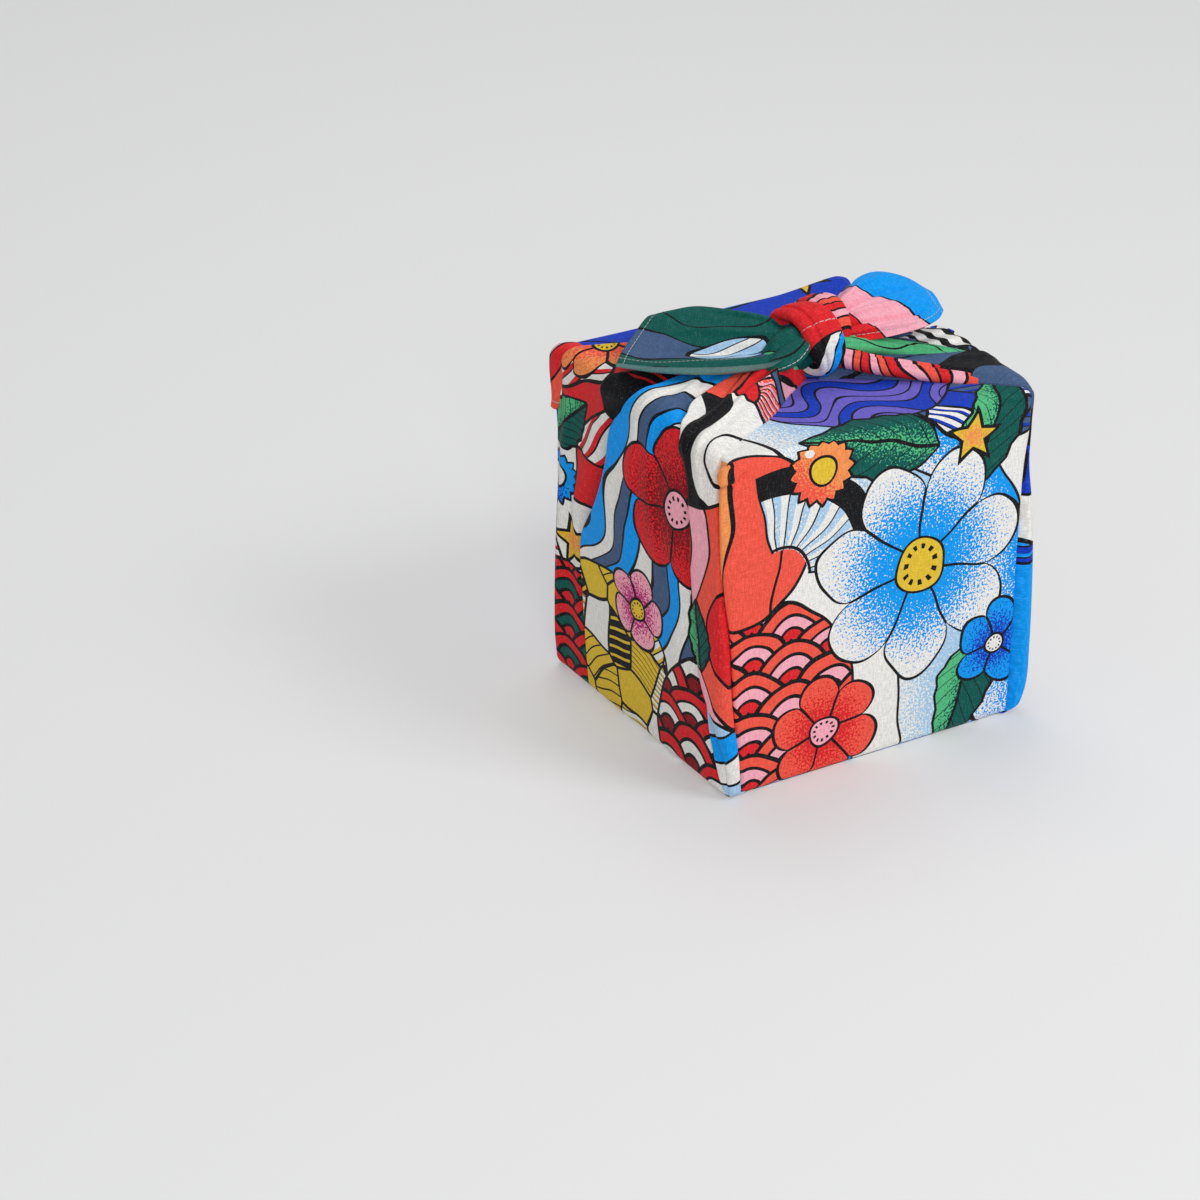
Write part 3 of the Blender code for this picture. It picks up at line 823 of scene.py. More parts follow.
CORE_PRINT = PrintedCloth("core_print", (
    Stamp(Motif.FLOW, 0, 0, 12, 60, "TEAL MINT TEAL", 0.4, line=1, spray=0),
    Stamp(Motif.BALL, 40, 20, 10, 0, "YELLOW YELLOW YELLOW", 0),
))
LOBE_PRINT = PrintedCloth("lobe_print", (
    Stamp(Motif.FLOW, 0, 4, 13, 10, "TEAL TEAL TEAL", 0.3, line=1.2, spray=0),
), hemmed=True)
RED_KNOT_PRINT = PrintedCloth("red_knot_print", (
    Stamp(Motif.FLOW, 64, 6, 6, 28, "OFF_WHITE BLACK SKY", 0.2, 4.2, 1.2, 0),
), ground=Ink.RED, hemmed=True)


# Meshes -------------------------------------------------------------------------------------


def cloth_sheet(
    name: str, points: Array, flat: Array, hem: Array | None = None, flip: bool = False
) -> Piece:
    """A sheet of quads over a grid of points, with its place on the flat cloth as a UV map.

    Args:
        name: the object's name.
        points: rows by columns by 3, in the order that turns the faces outwards.
        flat: rows by columns by 2, the same points on the flat square, in metres.
        hem: rows by columns by 2, the distances to the side hem and to the end hem.
        flip: whether the columns have to be turned round for the faces to look outwards.

    Returns:
        The new object, smooth shaded.
    """
    maps = {"cloth": flat} if hem is None else {"cloth": flat, "hem": hem}
    if flip:
        points, maps = points[:, ::-1], {label: values[:, ::-1] for label, values in maps.items()}
    rows, cols = points.shape[:2]
    index = np.arange(rows * cols).reshape(rows, cols)
    quads = np.stack([index[:-1, :-1], index[:-1, 1:], index[1:, 1:], index[1:, :-1]], axis=-1)
    quads = quads.reshape(-1, 4)
    place = points.reshape(-1, 3)
    corner = place[quads]
    size = np.linalg.norm(np.cross(corner[:, 2] - corner[:, 0], corner[:, 3] - corner[:, 1]), axis=1)
    quads = quads[size > 1e-9]
    mesh = bpy.data.meshes.new(name)
    mesh.from_pydata(place.tolist(), [], quads.tolist())
    for label, values in maps.items():
        mesh.uv_layers.new(name=label).data.foreach_set("uv", values.reshape(-1, 2)[quads].ravel())
    mesh.shade_smooth()
    made = bpy.data.objects.new(name, mesh)
    bpy.context.scene.collection.objects.link(made)
    return made


def thicken(piece: Piece, thickness: float, offset: float, reverse_slot: int = 0) -> None:
    """Gives a sheet its two sides, the reverse in a material slot of its own if asked."""
    wall = piece.modifiers.new("cloth", "SOLIDIFY")
    wall.thickness, wall.offset, wall.material_offset = thickness, offset, reverse_slot


def surface(piece: Piece) -> float:
    """Measures a mesh.

    Args:
        piece: the mesh's object.

    Returns:
        The area of its faces in square metres.
    """
    areas = np.empty(len(piece.data.polygons))
    piece.data.polygons.foreach_get("area", areas)
    return float(areas.sum())


def present(piece: Piece, flat: tuple[float, float], held: str, *finishes: PrintedCloth) -> None:
    """Args:
        piece: the region's object.
        flat: its size when flat, in metres.
        held: how the cloth is held. Not used.
        finishes: its finish, and its reverse's where that has one of its own.
    """
    for finish in finishes:
        piece.data.materials.append(finish.material())
    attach(piece, "root")
    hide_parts("furoshiki_wrap")
    LOG.info("%s: %d quads, %.4f m2, flat %.4f m2", piece.name, len(piece.data.polygons),
             surface(piece), flat[0] * flat[1])


# The wrapped box ----------------------------------------------------------------------------


class Side(Enum):
    """The two gathered sides, with the sign of their X."""

    LEFT = -1
    RIGHT = 1


@dataclass(frozen=True)
class WrappedBox:
    """The box under the cloth, and the way from its sharp form to its rounded one."""

    width: float = 0.230
    depth: float = 0.221
    height: float = 0.240
    edge_radius: float = 0.007
    floor_gap: float = 0.0001

    def rounded(self, sharp: Array) -> tuple[Array, Array]:
        """Moves points of the sharp box to the box with rounded edges.

        Formula: the point is clamped to the box shrunk by the radius, and the rounded point lies
        one radius from there towards the sharp one.

        Args:
            sharp: points on the sharp box.

        Returns:
            The rounded points and their outward normals.
        """
        middle = np.array([0.0, 0.0, self.height / 2])
        inner = np.array([self.width, self.depth, self.height]) / 2 - self.edge_radius
        core = np.clip(sharp - middle, -inner, inner)
        normal = sharp - middle - core
        normal /= np.maximum(np.linalg.norm(normal, axis=-1, keepdims=True), 1e-9)
        return core + normal * self.edge_radius + middle, normal

    def raised(self, place: Array, normal: Array, height: Array) -> Array:
        """Moves points out along their normals, less and less where those turn down to the floor.

        Args:
            place: the points.
            normal: their normals.
            height: how far each one moves.

        Returns:
            The moved points, all above the floor.
        """
        out = place + normal * (height * (1 + np.minimum(normal[..., 2], 0)))[..., None]
        out[..., 2] = np.maximum(out[..., 2], self.floor_gap)
        return out

    def on_side(self, side: Side, s: Array, t: Array) -> Array:
        """Lays parameters on a side of the sharp box.

        Args:
            side: the side.
            s: the place along Y and on round the corners.
            t: the place up the side and on over the top, or under the base where it is below 0.

        Returns:
            The sharp points.
        """
        y, z = np.clip(s, -self.depth / 2, self.depth / 2), np.clip(t, 0, self.height)
        inward = np.abs(t - z) + np.abs(s - y) * (t <= self.height)
        return np.stack([side.value * (self.width / 2 - inward), y, z], axis=-1)

    def on_face(self, facing: float, p: Array, t: Array) -> Array:
        """Lays parameters on the front or back of the sharp box.

        Args:
            facing: -1 for the front and 1 for the back.
            p: the place along X and on round the corners.
            t: the place up the face and on over the top, or under the base where it is below 0.

        Returns:
            The sharp points.
        """
        x, z = np.clip(p, -self.width / 2, self.width / 2), np.clip(t, 0, self.height)
        inward = np.maximum(np.abs(t - z), np.abs(p - x))
        return np.stack([x, facing * (self.depth / 2 - inward), z], axis=-1)


BOX = WrappedBox()
FOLD_COLUMNS = ("t", "back", "fold_a", "fold_b", "front", "rise_a", "crest_b", "tube",
                "groove", "front_ear", "back_ear", "lift")
FOLDS: dict[Side, Table] = {
    Side.LEFT: (
        (0, 121, 64, -112, -122.5, 0, 0, 2, 3, 0, 0, 0),
        (40, 118, 65, -103, -118, 2, -1.5, 5.5, 5.5, 0, 0, 0),
        (75, 115, 67, -82, -113.5, 3.8, -2, 7, 6, 0, 0, 0),
        (120, 112, 66, -72, -109, 6, -2, 7, 6, 1, 0, 0),
        (155, 109, 43, -67, -104, 9.5, -1, 6, 5, 5, 0, 0),
        (190, 106, 28, -67, -98.5, 11, 1, 4.5, 4, 8, 1, 0),
        (220, 103, 20, -66, -95, 10, 2.5, 3.5, 3.5, 9, 4, 1),
        (240, 101, 3, -60, -93.5, 8, 3.5, 3, 2.5, 7, 4, 3),
        (272, 84, 3, -46, -78, 6, 4, 3, 0, 0, 0, 6),
        (305, 54, -3, -26, -59, 4.5, 4, 3, 0, 0, 0, 11),
        (330, 26, -9, -17, -38.5, 2.5, 3, 2, 0, 0, 0, 16),
        (352, 4, -12, -15, -24, 0, 0, 0, 0, 0, 0, 20),
    ),
    Side.RIGHT: (
        (0, 121, 30, -100, -115, 0, 0, 4, 2.5, 0, 0, 0),
        (20, 120, 32, -94, -113.5, 1, -1, 10.5, 4, 0, 0, 0),
        (50, 118, 34, -91, -112.5, 2, -1.5, 12.5, 4.5, 0, 0, 0),
        (100, 115, 40, -90, -112, 4, -2, 12, 4.5, 0, 0, 0),
        (155, 110, 30, -88, -111.5, 5.5, -1, 8.5, 4.5, 0, 0, 0),
        (190, 107, 18, -80, -111, 6, 0, 3.5, 4, 1, 2, 0),
        (215, 105, 6, -70, -109, 6, 1, 2.5, 3.5, 3, 5, 1),
        (240, 101, -6, -60, -107, 5, 2, 3, 2.5, 3, 5, 3),
        (272, 72, -8, -52, -81.5, 3, 2, 2.5, 0, 0, 0, 5),
        (305, 42, -10, -38, -57, 1.5, 1, 2, 0, 0, 0, 8),
        (330, 22, -11, -26, -39, 0, 0, 1, 0, 0, 0, 12),
        (352, 6, -12, -18, -28, 0, 0, 0, 0, 0, 0, 18),
    ),
}
LAP_COLUMNS = ("t", "edge", "rise")
LAPS: dict[Side, Table] = {
    Side.LEFT: (
        (0, -110, 1.2), (40, -92.5, 1.6), (75, -81.5, 1.8), (120, -72, 1.8), (155, -70.5, 2),
        (190, -71, 2.4), (212, -66.5, 2.8), (232, -61, 3), (243, -50, 3.4), (254, -37.5, 3.4),
        (272, -28, 3), (292, -21.5, 2.6), (312, -18, 2), (352, -17, 0.8)),
    Side.RIGHT: (
        (0, -99, 1.2), (50, -90.5, 1.8), (120, -89, 2), (180, -83, 2.4), (215, -70, 2.6), (240, -59, 2.6),
        (272, -49, 2.4), (305, -34, 1.8), (352, -18, 0.6)),
}
EAR = 0.014


def ear_overhang(side: Side, s: Array, t: Array, normal: Array) -> Array:
    """How far the panels' pinched corners stand out along X at a side.

    Formula: the table's ear height times a soft hill round each vertical edge, fading where the
    cloth turns over the top or under the base.

    Args:
        side: the gathered side.
        s: the places along and round it.
        t: the levels.
        normal: the box's normals there.

    Returns:
        Distances with the sign of the side's X.
    """
    at = columns(FOLDS[side], FOLD_COLUMNS, t)
    ears = at["front_ear"] * hill((s + BOX.depth / 2) / EAR)
    ears += at["back_ear"] * hill((s - BOX.depth / 2) / EAR)
    return ears * side.value * (1 - normal[..., 2] ** 2)


def side_sheet(name: str, side: Side, s: Array, t: Array, height: Array, hem: Array | None = None) -> Piece:
    """A sheet at a height over a side of the rounded box, with the pinched corners' overhang.

    Its faces look outwards where s falls along the rows at the left side and rises at the right
    one. Otherwise its columns are turned round.

    Args:
        name: the object's name.
        side: the gathered side.
        s: the places along and round it, rows by columns.
        t: the levels, as one column or as many as s has.
        height: how far each point stands off the box.
        hem: the hem map, where there is a hem.

    Returns:
        The new object.
    """
    t = np.broadcast_to(t, s.shape)
    flip = side.value * (s[0, -1] - s[0, 0]) < 0
    place, normal = BOX.rounded(BOX.on_side(side, s, t))
    place = BOX.raised(place, normal, height)
    place[..., 0] += ear_overhang(side, s, t, normal)
    return cloth_sheet(name, place, np.stack([side.value * s, t], axis=-1), hem, flip)


# The smooth cloths: front, back and base ----------------------------------------------------


@dataclass
class SmoothCloth:
    """The front or the back of the square: up its face and over the top, under the arms."""

    name: str
    facing: float
    seed: int
    finish: PrintedCloth
    flat: tuple[float, float] = (0.245, 0.380)
    reach_over_top: float = 0.135
    edge_roll: float = 0.0034
    crown: float = 0.0015
    slackness: float = 0.00035
    strip_end: float = -0.002
    strip_fade: float = 0.010
    tuck_place: Triple = (-0.1150, 0.2330, 0.0090)
    tuck_height: float = 0.0042
    tuck_top: float = 0.243
    tuck_fade: float = 0.006
    shadow_depth: float = 0.0030
    shadow_ring: tuple[float, float] = (1.12, 0.13)
    peak_place: Triple = (0.112, 0.2400, 0.055)
    peak_height: float = 0.0042

    def border(self, side: Side, t: Array) -> Array:
        """The crevice at a gathered side.

        Args:
            side: the gathered side.
            t: the levels.

        Returns:
            Its places along p, which near the top come back to the side's edge.
        """
        column = "front" if self.facing < 0 else "back"
        s = columns(FOLDS[side], FOLD_COLUMNS, np.minimum(t, BOX.height))[column]
        over = soft_step((t - BOX.height - self.strip_end) / self.strip_fade)
        return side.value * (BOX.width / 2 + (BOX.depth / 2 - np.abs(s)) * (1 - over))

    def grid(self) -> tuple[Array, Array, Array]:
        """The sheet's parameters.

        Formula: between the two crevices, p is spread evenly; at each crevice it turns down over
        a quarter circle, which is the fold's round edge.

        Returns:
            p, t and the dive of the rolled edges, each rows by columns.
        """
        t = np.arange(FOOT, BOX.height + self.reach_over_top, CELL)[:, None]
        turn, r = rolled(105, 0, 10), self.edge_roll
        left, right = self.border(Side.LEFT, t) + r, self.border(Side.RIGHT, t) - r
        count = int((BOX.width + 0.01) / CELL)
        middle = left + (right - left) * np.linspace(0, 1, count)[None, :]
        p = np.hstack([(left - r * np.sin(turn))[:, :-1], middle, (right + r * np.sin(turn))[:, -2::-1]])
        dive = r * (np.cos(turn[:, :-1]) - 1)
        dive = np.hstack([dive, np.zeros((1, count)), dive[:, ::-1]])
        return p, np.broadcast_to(t, p.shape), np.broadcast_to(dive, p.shape)

    def relief(self, p: Array, t: Array) -> Array:
        """The panel's crown, its slight slackness and one corner's tuck, or the back's peak.

        Formula: the crown is a parabola both ways. The tuck is half an ellipsoid with a hollow
        round its lower side, and the peak is a soft hill.

        Args:
            p: the places across the face.
            t: the levels.

        Returns:
            The heights.
        """
        across = np.clip(1 - (2 * p / BOX.width) ** 2, 0, 1)
        up = np.clip(1 - (2 * t / BOX.height - 1) ** 2, 0, 1)
        out = self.crown * across * up + self.slackness * slack(p, t, self.seed) * (0.4 + up)
        if self.facing > 0:
            x, y, r = self.peak_place
            return out + self.peak_height * hill((p - x) / r) * hill((t - y) / (0.6 * r))
        (x, y, r), (ring, width) = self.tuck_place, self.shadow_ring
        far = np.sqrt((p - x) ** 2 + (1.3 * (t - y)) ** 2) / r
        tuck = np.sqrt(np.clip(1 - far**2, 0, 1)) * soft_step((self.tuck_top - t) / self.tuck_fade)
        below = soft_step((y - t) / (0.4 * r) + 0.5)
        return out + self.tuck_height * tuck - self.shadow_depth * bell(far - ring, width) * below

    def build(self) -> None:
        """Makes and presents the sheet."""
        p, t, dive = self.grid()
        place, normal = BOX.rounded(BOX.on_face(self.facing, p, t))
        place = BOX.raised(place, normal, self.relief(p, t) + dive)
        s = self.facing * (BOX.depth / 2 + BOX.width / 2 - np.abs(p))
        for side in Side:
            place[..., 0] += ear_overhang(side, s, t, normal) * (np.sign(p) == side.value)
        flat = np.stack([-self.facing * p, t], axis=-1)
        made = cloth_sheet(self.name, place, flat, flip=self.facing > 0)
        present(made, self.flat, "folded", self.finish)


@dataclass
class BaseCloth:
    """The flat middle of the square, under the box."""

    cell: float = 0.004
    lap: float = 0.004
    flat: tuple[float, float] = (0.222, 0.213)

    def build(self) -> None:
        """Makes and presents the sheet: a flat grid that faces down."""
        x, y = (np.arange(-side / 2 + self.lap, side / 2 - self.lap + 1e-6, self.cell)
                for side in (BOX.width, BOX.depth))
        gx, gy = np.meshgrid(x, y)
        place = np.stack([gx, gy, np.full_like(gx, BOX.floor_gap)], axis=-1)
        present(cloth_sheet("base_cloth", place, place[..., :2], flip=True), self.flat, "folded", BASE_PRINT)


# The gathered sides -------------------------------------------------------------------------


@dataclass(frozen=True)
class Crease:
    """One fold line of a gathered side: places t and s, height, and the widths of the
    steep flank (towards the front, or the back if flipped) and of the soft one."""

    rows: Table
    flip: bool = False
    fade_in: float = 0.012
    fade_out: float = 0.006

    def height(self, s: Array, t: Array) -> Array:
        """The crease's relief.

        Formula: its height along t, faded at its ends, times a folded edge across s.

        Args:
            s: the places across the side.
            t: the levels.

        Returns:
            The heights.
        """
        at = columns(self.rows, ("t", "s", "height", "short", "long"), t)
        across = (s - at["s"]) * (-1 if self.flip else 1)
        start, end = self.rows[0][0] * MM, self.rows[-1][0] * MM
        fade = soft_step((t - start) / self.fade_in) * soft_step((end - t) / self.fade_out + 1)
        return at["height"] * fade * pleat_edge(across, at["short"], at["long"])


LEFT_CREASES = (
    Crease(((190, -83, 0.8, 3, 6), (232, -80, 2.6, 2.2, 7), (290, -50, 3.2, 1.6, 5),
            (352, -24, 2.2, 1.2, 3))),
    Crease(((226, -69, 0.6, 2, 5), (262, -56, 2.2, 1.5, 4), (305, -34, 2.2, 1.2, 3), (352, -19, 1.4, 1, 2))),
    Crease(((245, -34, 0.6, 3, 6), (272, -16, 2.2, 2, 6), (305, -9, 2, 1.5, 4), (340, -10, 1, 1, 3))),
    Crease(((120, -34, 0.8, 4, 12), (190, -24, 2.2, 3, 12), (245, -28, 2.4, 2.5, 10),
            (305, -16, 1.8, 1.5, 5), (352, -13, 1, 1, 2))),
    Crease(((60, -6, 0.4, 6, 14), (130, 4, 1.6, 5, 14), (190, -4, 2.2, 4, 10), (245, -14, 1.6, 3, 7),
            (300, -10, 0.8, 2, 4))),
    Crease(((30, -60, 0.6, 10, 10), (100, -52, 1.8, 9, 10), (170, -48, 1.4, 8, 9), (225, -46, 0.4, 6, 8))),
)
LEFT_BACK_CREASES = (
    Crease(((20, 78, 0.6, 6, 10), (80, 78, 2.2, 5, 10), (130, 80, 3.4, 4, 10), (165, 70, 3, 5, 12),
            (205, 56, 1.4, 6, 12)), True),
    Crease(((150, 66, 0.6, 4, 12), (215, 50, 1.6, 3, 10), (262, 30, 2.2, 2, 8), (315, 8, 1.6, 1.5, 5)),
           True),
    Crease(((185, 92, 0.8, 4, 8), (225, 80, 1.6, 3, 8), (270, 52, 1.8, 2, 7), (320, 18, 1.2, 1.5, 4)), True),
)
RIGHT_CREASES = (
    Crease(((120, -30, 0.8, 4, 12), (190, -34, 2.4, 3, 11), (245, -34, 2.6, 2.5, 8),
            (305, -26, 1.4, 1.5, 4))),
    Crease(((60, 4, 0.4, 6, 14), (150, -4, 2, 4, 12), (205, -14, 2.6, 3, 10), (250, -20, 2, 2.5, 7),
            (300, -16, 1, 2, 4))),
    Crease(((150, -60, 0.6, 4, 10), (205, -52, 2.2, 3, 9), (245, -46, 2.4, 2, 7), (290, -36, 1, 1.5, 4))),
    Crease(((10, -50, 1.4, 10, 12), (80, -54, 1.8, 10, 10), (150, -56, 0.8, 8, 10))),
)
RIGHT_BACK_CREASES = (
    Crease(((130, 54, 0.6, 4, 14), (205, 40, 2.2, 3, 10), (250, 28, 2.4, 2, 8), (305, 10, 1.4, 1.5, 5)),
           True),
    Crease(((165, 86, 0.8, 4, 10), (225, 72, 2, 3, 8), (268, 46, 1.8, 2, 7), (315, 20, 1, 1.5, 4)), True),
)


@dataclass
class GatheredSide:
    """One gathered side: a back sheet, a middle sheet folded over it, and the front pleat.

    The places s and the heights of each sheet are rows by columns, a row for each level t.
    """

    side: Side
    creases: tuple[Crease, ...]
    back_creases: tuple[Crease, ...]
    finishes: tuple[PrintedCloth, PrintedCloth, PrintedCloth]
    widths: Triple = (0.058, 0.125, 0.085)
    reaches: Triple = (0.075, 0.130, 0.085)
    length: float = 0.358
    top_end: float = 0.352
    ply: float = 0.0005
    fold_roll: float = 0.0042
    border_roll: float = 0.0012
    tube_roll: float = 0.0032
    crest_width: float = 0.012
    crest_steep: float = 0.0024
    slackness: float = 0.0004
    slack_fade: tuple[float, float] = (0.02, 0.03)
    tuck_under: float = 0.012
    tuck_end: float = 0.345
    tuck_fade: float = 0.08
    dive_start: float = 0.022
    dive: float = 0.85
    border_step: float = 0.010
    back_pleat: float = 0.011
    back_pleat_inset: float = 0.014
    lap_fade: float = 0.010
    lap_reach: float = 0.007
    lap_dip: float = 0.0022

    def __post_init__(self) -> None:
        """Reads the fold and lap tables at the levels t of the grid's rows."""
        self.t = np.arange(FOOT, self.top_end, CELL)[:, None]
        self.at = columns(FOLDS[self.side], FOLD_COLUMNS, self.t)
        self.at |= columns(LAPS[self.side], LAP_COLUMNS, self.t)

    def loose(self, s: Array, inside: Array, seed: int) -> Array:
        """The loose cloth's unevenness, fading towards a crevice and towards the knot.

        Args:
            s: the places across the side.
            inside: their distances from the crevice.
            seed: picks the waves.

        Returns:
            The heights.
        """
        inner, upper = self.slack_fade
        fade = soft_step(inside / inner) * soft_step((self.top_end - self.t) / upper)
        return self.slackness * slack(s, self.t, seed + self.side.value) * fade

    def profile(self, s: Array) -> Array:
        """The main sheet's height between its two rolled edges.

        Formula: the step at fold A falling to fold B, a crest at fold B that is steep towards
        the back, the round tube in front of it, the lift near the knot and the fine creases.

        Args:
            s: the places across the side.

        Returns:
            The heights.
        """
        at, from_b, inside = self.at, self.at["fold_b"] - s, s - self.at["front"]
        q = np.clip((at["fold_a"] - s) / (at["fold_a"] - at["fold_b"]), 0, 1)
        crest = np.maximum(at["crest_b"], 0) * pleat_edge(from_b, self.crest_steep, self.crest_width * 0.6)
        valley = np.minimum(at["crest_b"], 0) * hill(from_b / self.crest_width)
        pleat = np.clip(from_b / (at["fold_b"] - at["front"]), 0, 1)
        out = at["rise_a"] * (1 - q) ** 0.8 + crest + valley + at["tube"] * round_top(pleat)
        out = out + at["lift"] * soft_step(inside / self.border_step) + self.ply
        return out + sum(crease.height(s, self.t) for crease in self.creases) + self.loose(s, inside, 11)

    def turned_edge(self, edge: Array, top: Array, roll: Array) -> tuple[Array, Array]:
        """A fold's rolled edge: a little over a half circle, from under it to its top.

        Args:
            edge: the place s of the fold's outermost line.
            top: the height of the cloth beside it.
            roll: the circle's radius.

        Returns:
            The edge's places s and heights.
        """
        turn = rolled(-100, 90, 12)
        return edge - roll + roll * np.cos(turn), top - roll + roll * np.sin(turn)

    def crevice(self, edge: Array, roll: Array, top: Array, drop: Array) -> tuple[Array, Array]:
        """A sheet's edge that turns down into a crevice over a quarter ellipse: s and heights."""
        turn = rolled(8, 100, 10)
        return edge + roll - roll * np.sin(turn), top - drop * (1 - np.cos(turn))

    def spread(self, start: Array, stop: Array, reach: float) -> Array:
        """Places s between two lines, closer together at the start, as many as reach asks for."""
        wave = np.linspace(0, 1, int(reach / CELL))[None, :]
        return start + (stop - start) * (0.5 * wave + 0.25 * (1 - np.cos(np.pi * wave)))

    def middle_sheet(self) -> Piece:
        """The sheet from fold A to a little way under the front pleat.

        Formula: fold A turns over a half circle whose height is the rise there; towards the front
        the cloth dips under the pleat's edge.

        Returns:
            The object.
        """
        fold, edge = self.at["fold_a"], self.at["edge"]
        roll = np.clip(self.at["rise_a"] / 2, 0.0006, self.fold_roll)
        s = self.spread(fold - roll, edge - self.lap_reach, self.reaches[1])
        h = self.profile(s) - self.lap_dip * soft_step((edge + self.lap_fade - s) / self.lap_fade)
        first_s, first_h = self.turned_edge(fold, h[:, :1], roll)
        return self.sheet("middle", (first_s, s[:, 1:]), (first_h, h[:, 1:]))

    def front_sheet(self) -> Piece:
        """The front pleat, from its folded edge to the front crevice.

        Formula: its folded edge stands up by the lap's rise, which falls off as a bell.

        Returns:
            The object.
        """
        front, edge, rise = (self.at[name] for name in ("front", "edge", "rise"))
        front_roll = np.where(self.t > BOX.height - 0.004, self.border_roll, self.tube_roll)
        roll = np.clip(rise / 2, 0.0005, self.fold_roll)
        s = self.spread(edge - roll, front + front_roll, self.reaches[0])
        h = self.profile(s) + rise * bell(edge - s, self.lap_fade)
        first_s, first_h = self.turned_edge(edge, h[:, :1], roll)
        drop = h[:, -1:] + self.at["groove"] + 0.0006
        last_s, last_h = self.crevice(front, front_roll, h[:, -1:], drop)
        return self.sheet("front", (first_s, s[:, 1:], last_s), (first_h, h[:, 1:], last_h))

    def back_sheet(self) -> Piece:
        """The flatter sheet from the back crevice to under fold A, with one low pleat.

        Formula: the pleat is a soft hill, and the sheet dives under fold A by a share of that
        fold's rise.

        Returns:
            The object.
        """
        at, t = self.at, self.t
        roll = np.where(t > BOX.height, self.border_roll, self.tube_roll * 0.8)
        tucked = self.tuck_under * soft_step((self.tuck_end - t) / self.tuck_fade)
        start, stop = at["back"] - roll, at["fold_a"] - tucked
        s = start + (stop - start) * np.linspace(0, 1, int(self.reaches[2] / CELL))[None, :]
        inside = at["back"] - s
        h = self.ply * 0.4 + 0.6 * at["tube"] * hill((inside - self.back_pleat_inset) / self.back_pleat)
        h = h + at["lift"] * soft_step(inside / self.border_step) + self.loose(s, inside, 21)
        h = h + sum(crease.height(s, t) for crease in self.back_creases)
        under = soft_step((at["fold_a"] + self.dive_start - s) / self.dive_start)
        h = h - under * self.dive * at["rise_a"]
        drop = h[:, :1] + 0.5 * at["groove"] + 0.0010
        first_s, first_h = self.crevice(at["back"], -roll, h[:, :1], drop)
        return self.sheet("back", (first_s[:, ::-1], s), (first_h[:, ::-1], h))

    def sheet(self, part: str, s: tuple[Array, ...], height: tuple[Array, ...]) -> Piece:
        """Joins a sheet's strips and makes its mesh."""
        name, s, height = f"{self.side.name.lower()}_{part}_cloth", np.hstack(s), np.hstack(height)
        return side_sheet(name, self.side, s, self.t, height)

    def build(self) -> None:
        """Makes and presents the three sheets."""
        pieces = (self.front_sheet(), self.middle_sheet(), self.back_sheet())
        for piece, width, finish in zip(pieces, self.widths, self.finishes):
            present(piece, (width, self.length), "gathered", finish)


@dataclass
class CornerFlap:
    """The square's hemmed edge where it pokes out at the top of the left side's back corner."""

    rows: Table = (
        (196.5, 101.5, 3.4), (201, 101, 2.4), (208, 99.5, 1.8), (216, 96.5, 1.8),
        (224, 92, 2.2), (234, 88.5, 2.4), (244, 87, 2.2), (254, 88, 0.6), (262, 90, -2.5))
    end: float = 0.126
    breadth: float = 0.034
    taper: float = 0.010
    sink: float = 0.0020
    cell: float = 0.0010
    roll: float = 0.0010
    thickness: float = 0.0007
    hollow_place: tuple[float, float] = (0.103, 0.215)
    hollow_lean: float = 0.25
    hollow_width: float = 0.006
    hollow_depth: float = 0.0012
    hollow_top: float = 0.250
    hollow_fade: float = 0.02
    flat: tuple[float, float] = (0.038, 0.065)

    def build(self) -> None:
        """Makes and presents the flap.

        Formula: from a rolled fold on the side it goes round the corner; its height follows the
        table, less one soft hollow that runs down to the hem, and sinks away behind the corner.
        """
        low, high = self.rows[0][0] * MM, self.rows[-1][0] * MM
        t = np.arange(low, high, self.cell)[:, None]
        at = columns(self.rows, ("t", "fold", "height"), t)
        fold, roll, turn = at["fold"], self.roll, rolled(-90, 80, 8)
        share = np.linspace(0, 1, int(self.breadth / self.cell))[None, :]
        s = fold + roll + (self.end - fold) * share
        (middle, level), lean = self.hollow_place, self.hollow_lean
        hollow = hill((s - middle - lean * (t - level)) / self.hollow_width)
        hollow = hollow * soft_step((self.hollow_top - t) / self.hollow_fade)
        gone = soft_step((s - self.end + self.taper) / self.taper)
        h = at["height"] - self.hollow_depth * hollow - (self.sink + at["height"]) * gone
        s, h = (np.hstack([fold + roll - roll * np.cos(turn), s]),
                np.hstack([h[:, :1] - roll + roll * np.sin(turn), h]))
        hem = np.stack([np.ones_like(s), t - low + 0 * s], axis=-1)
        made = side_sheet("corner_flap", Side.LEFT, s, t, h, hem)
        thicken(made, self.thickness, -1)
        present(made, self.flat, "folded", CORNER_PRINT)


# The ropes, the knot and its tails ----------------------------------------------------------


@dataclass(frozen=True)
class Groove:
    """A lengthwise crease of a rolled band: its angle at the start and end, depth and width."""

    start: float
    end: float
    depth: float
    width: float


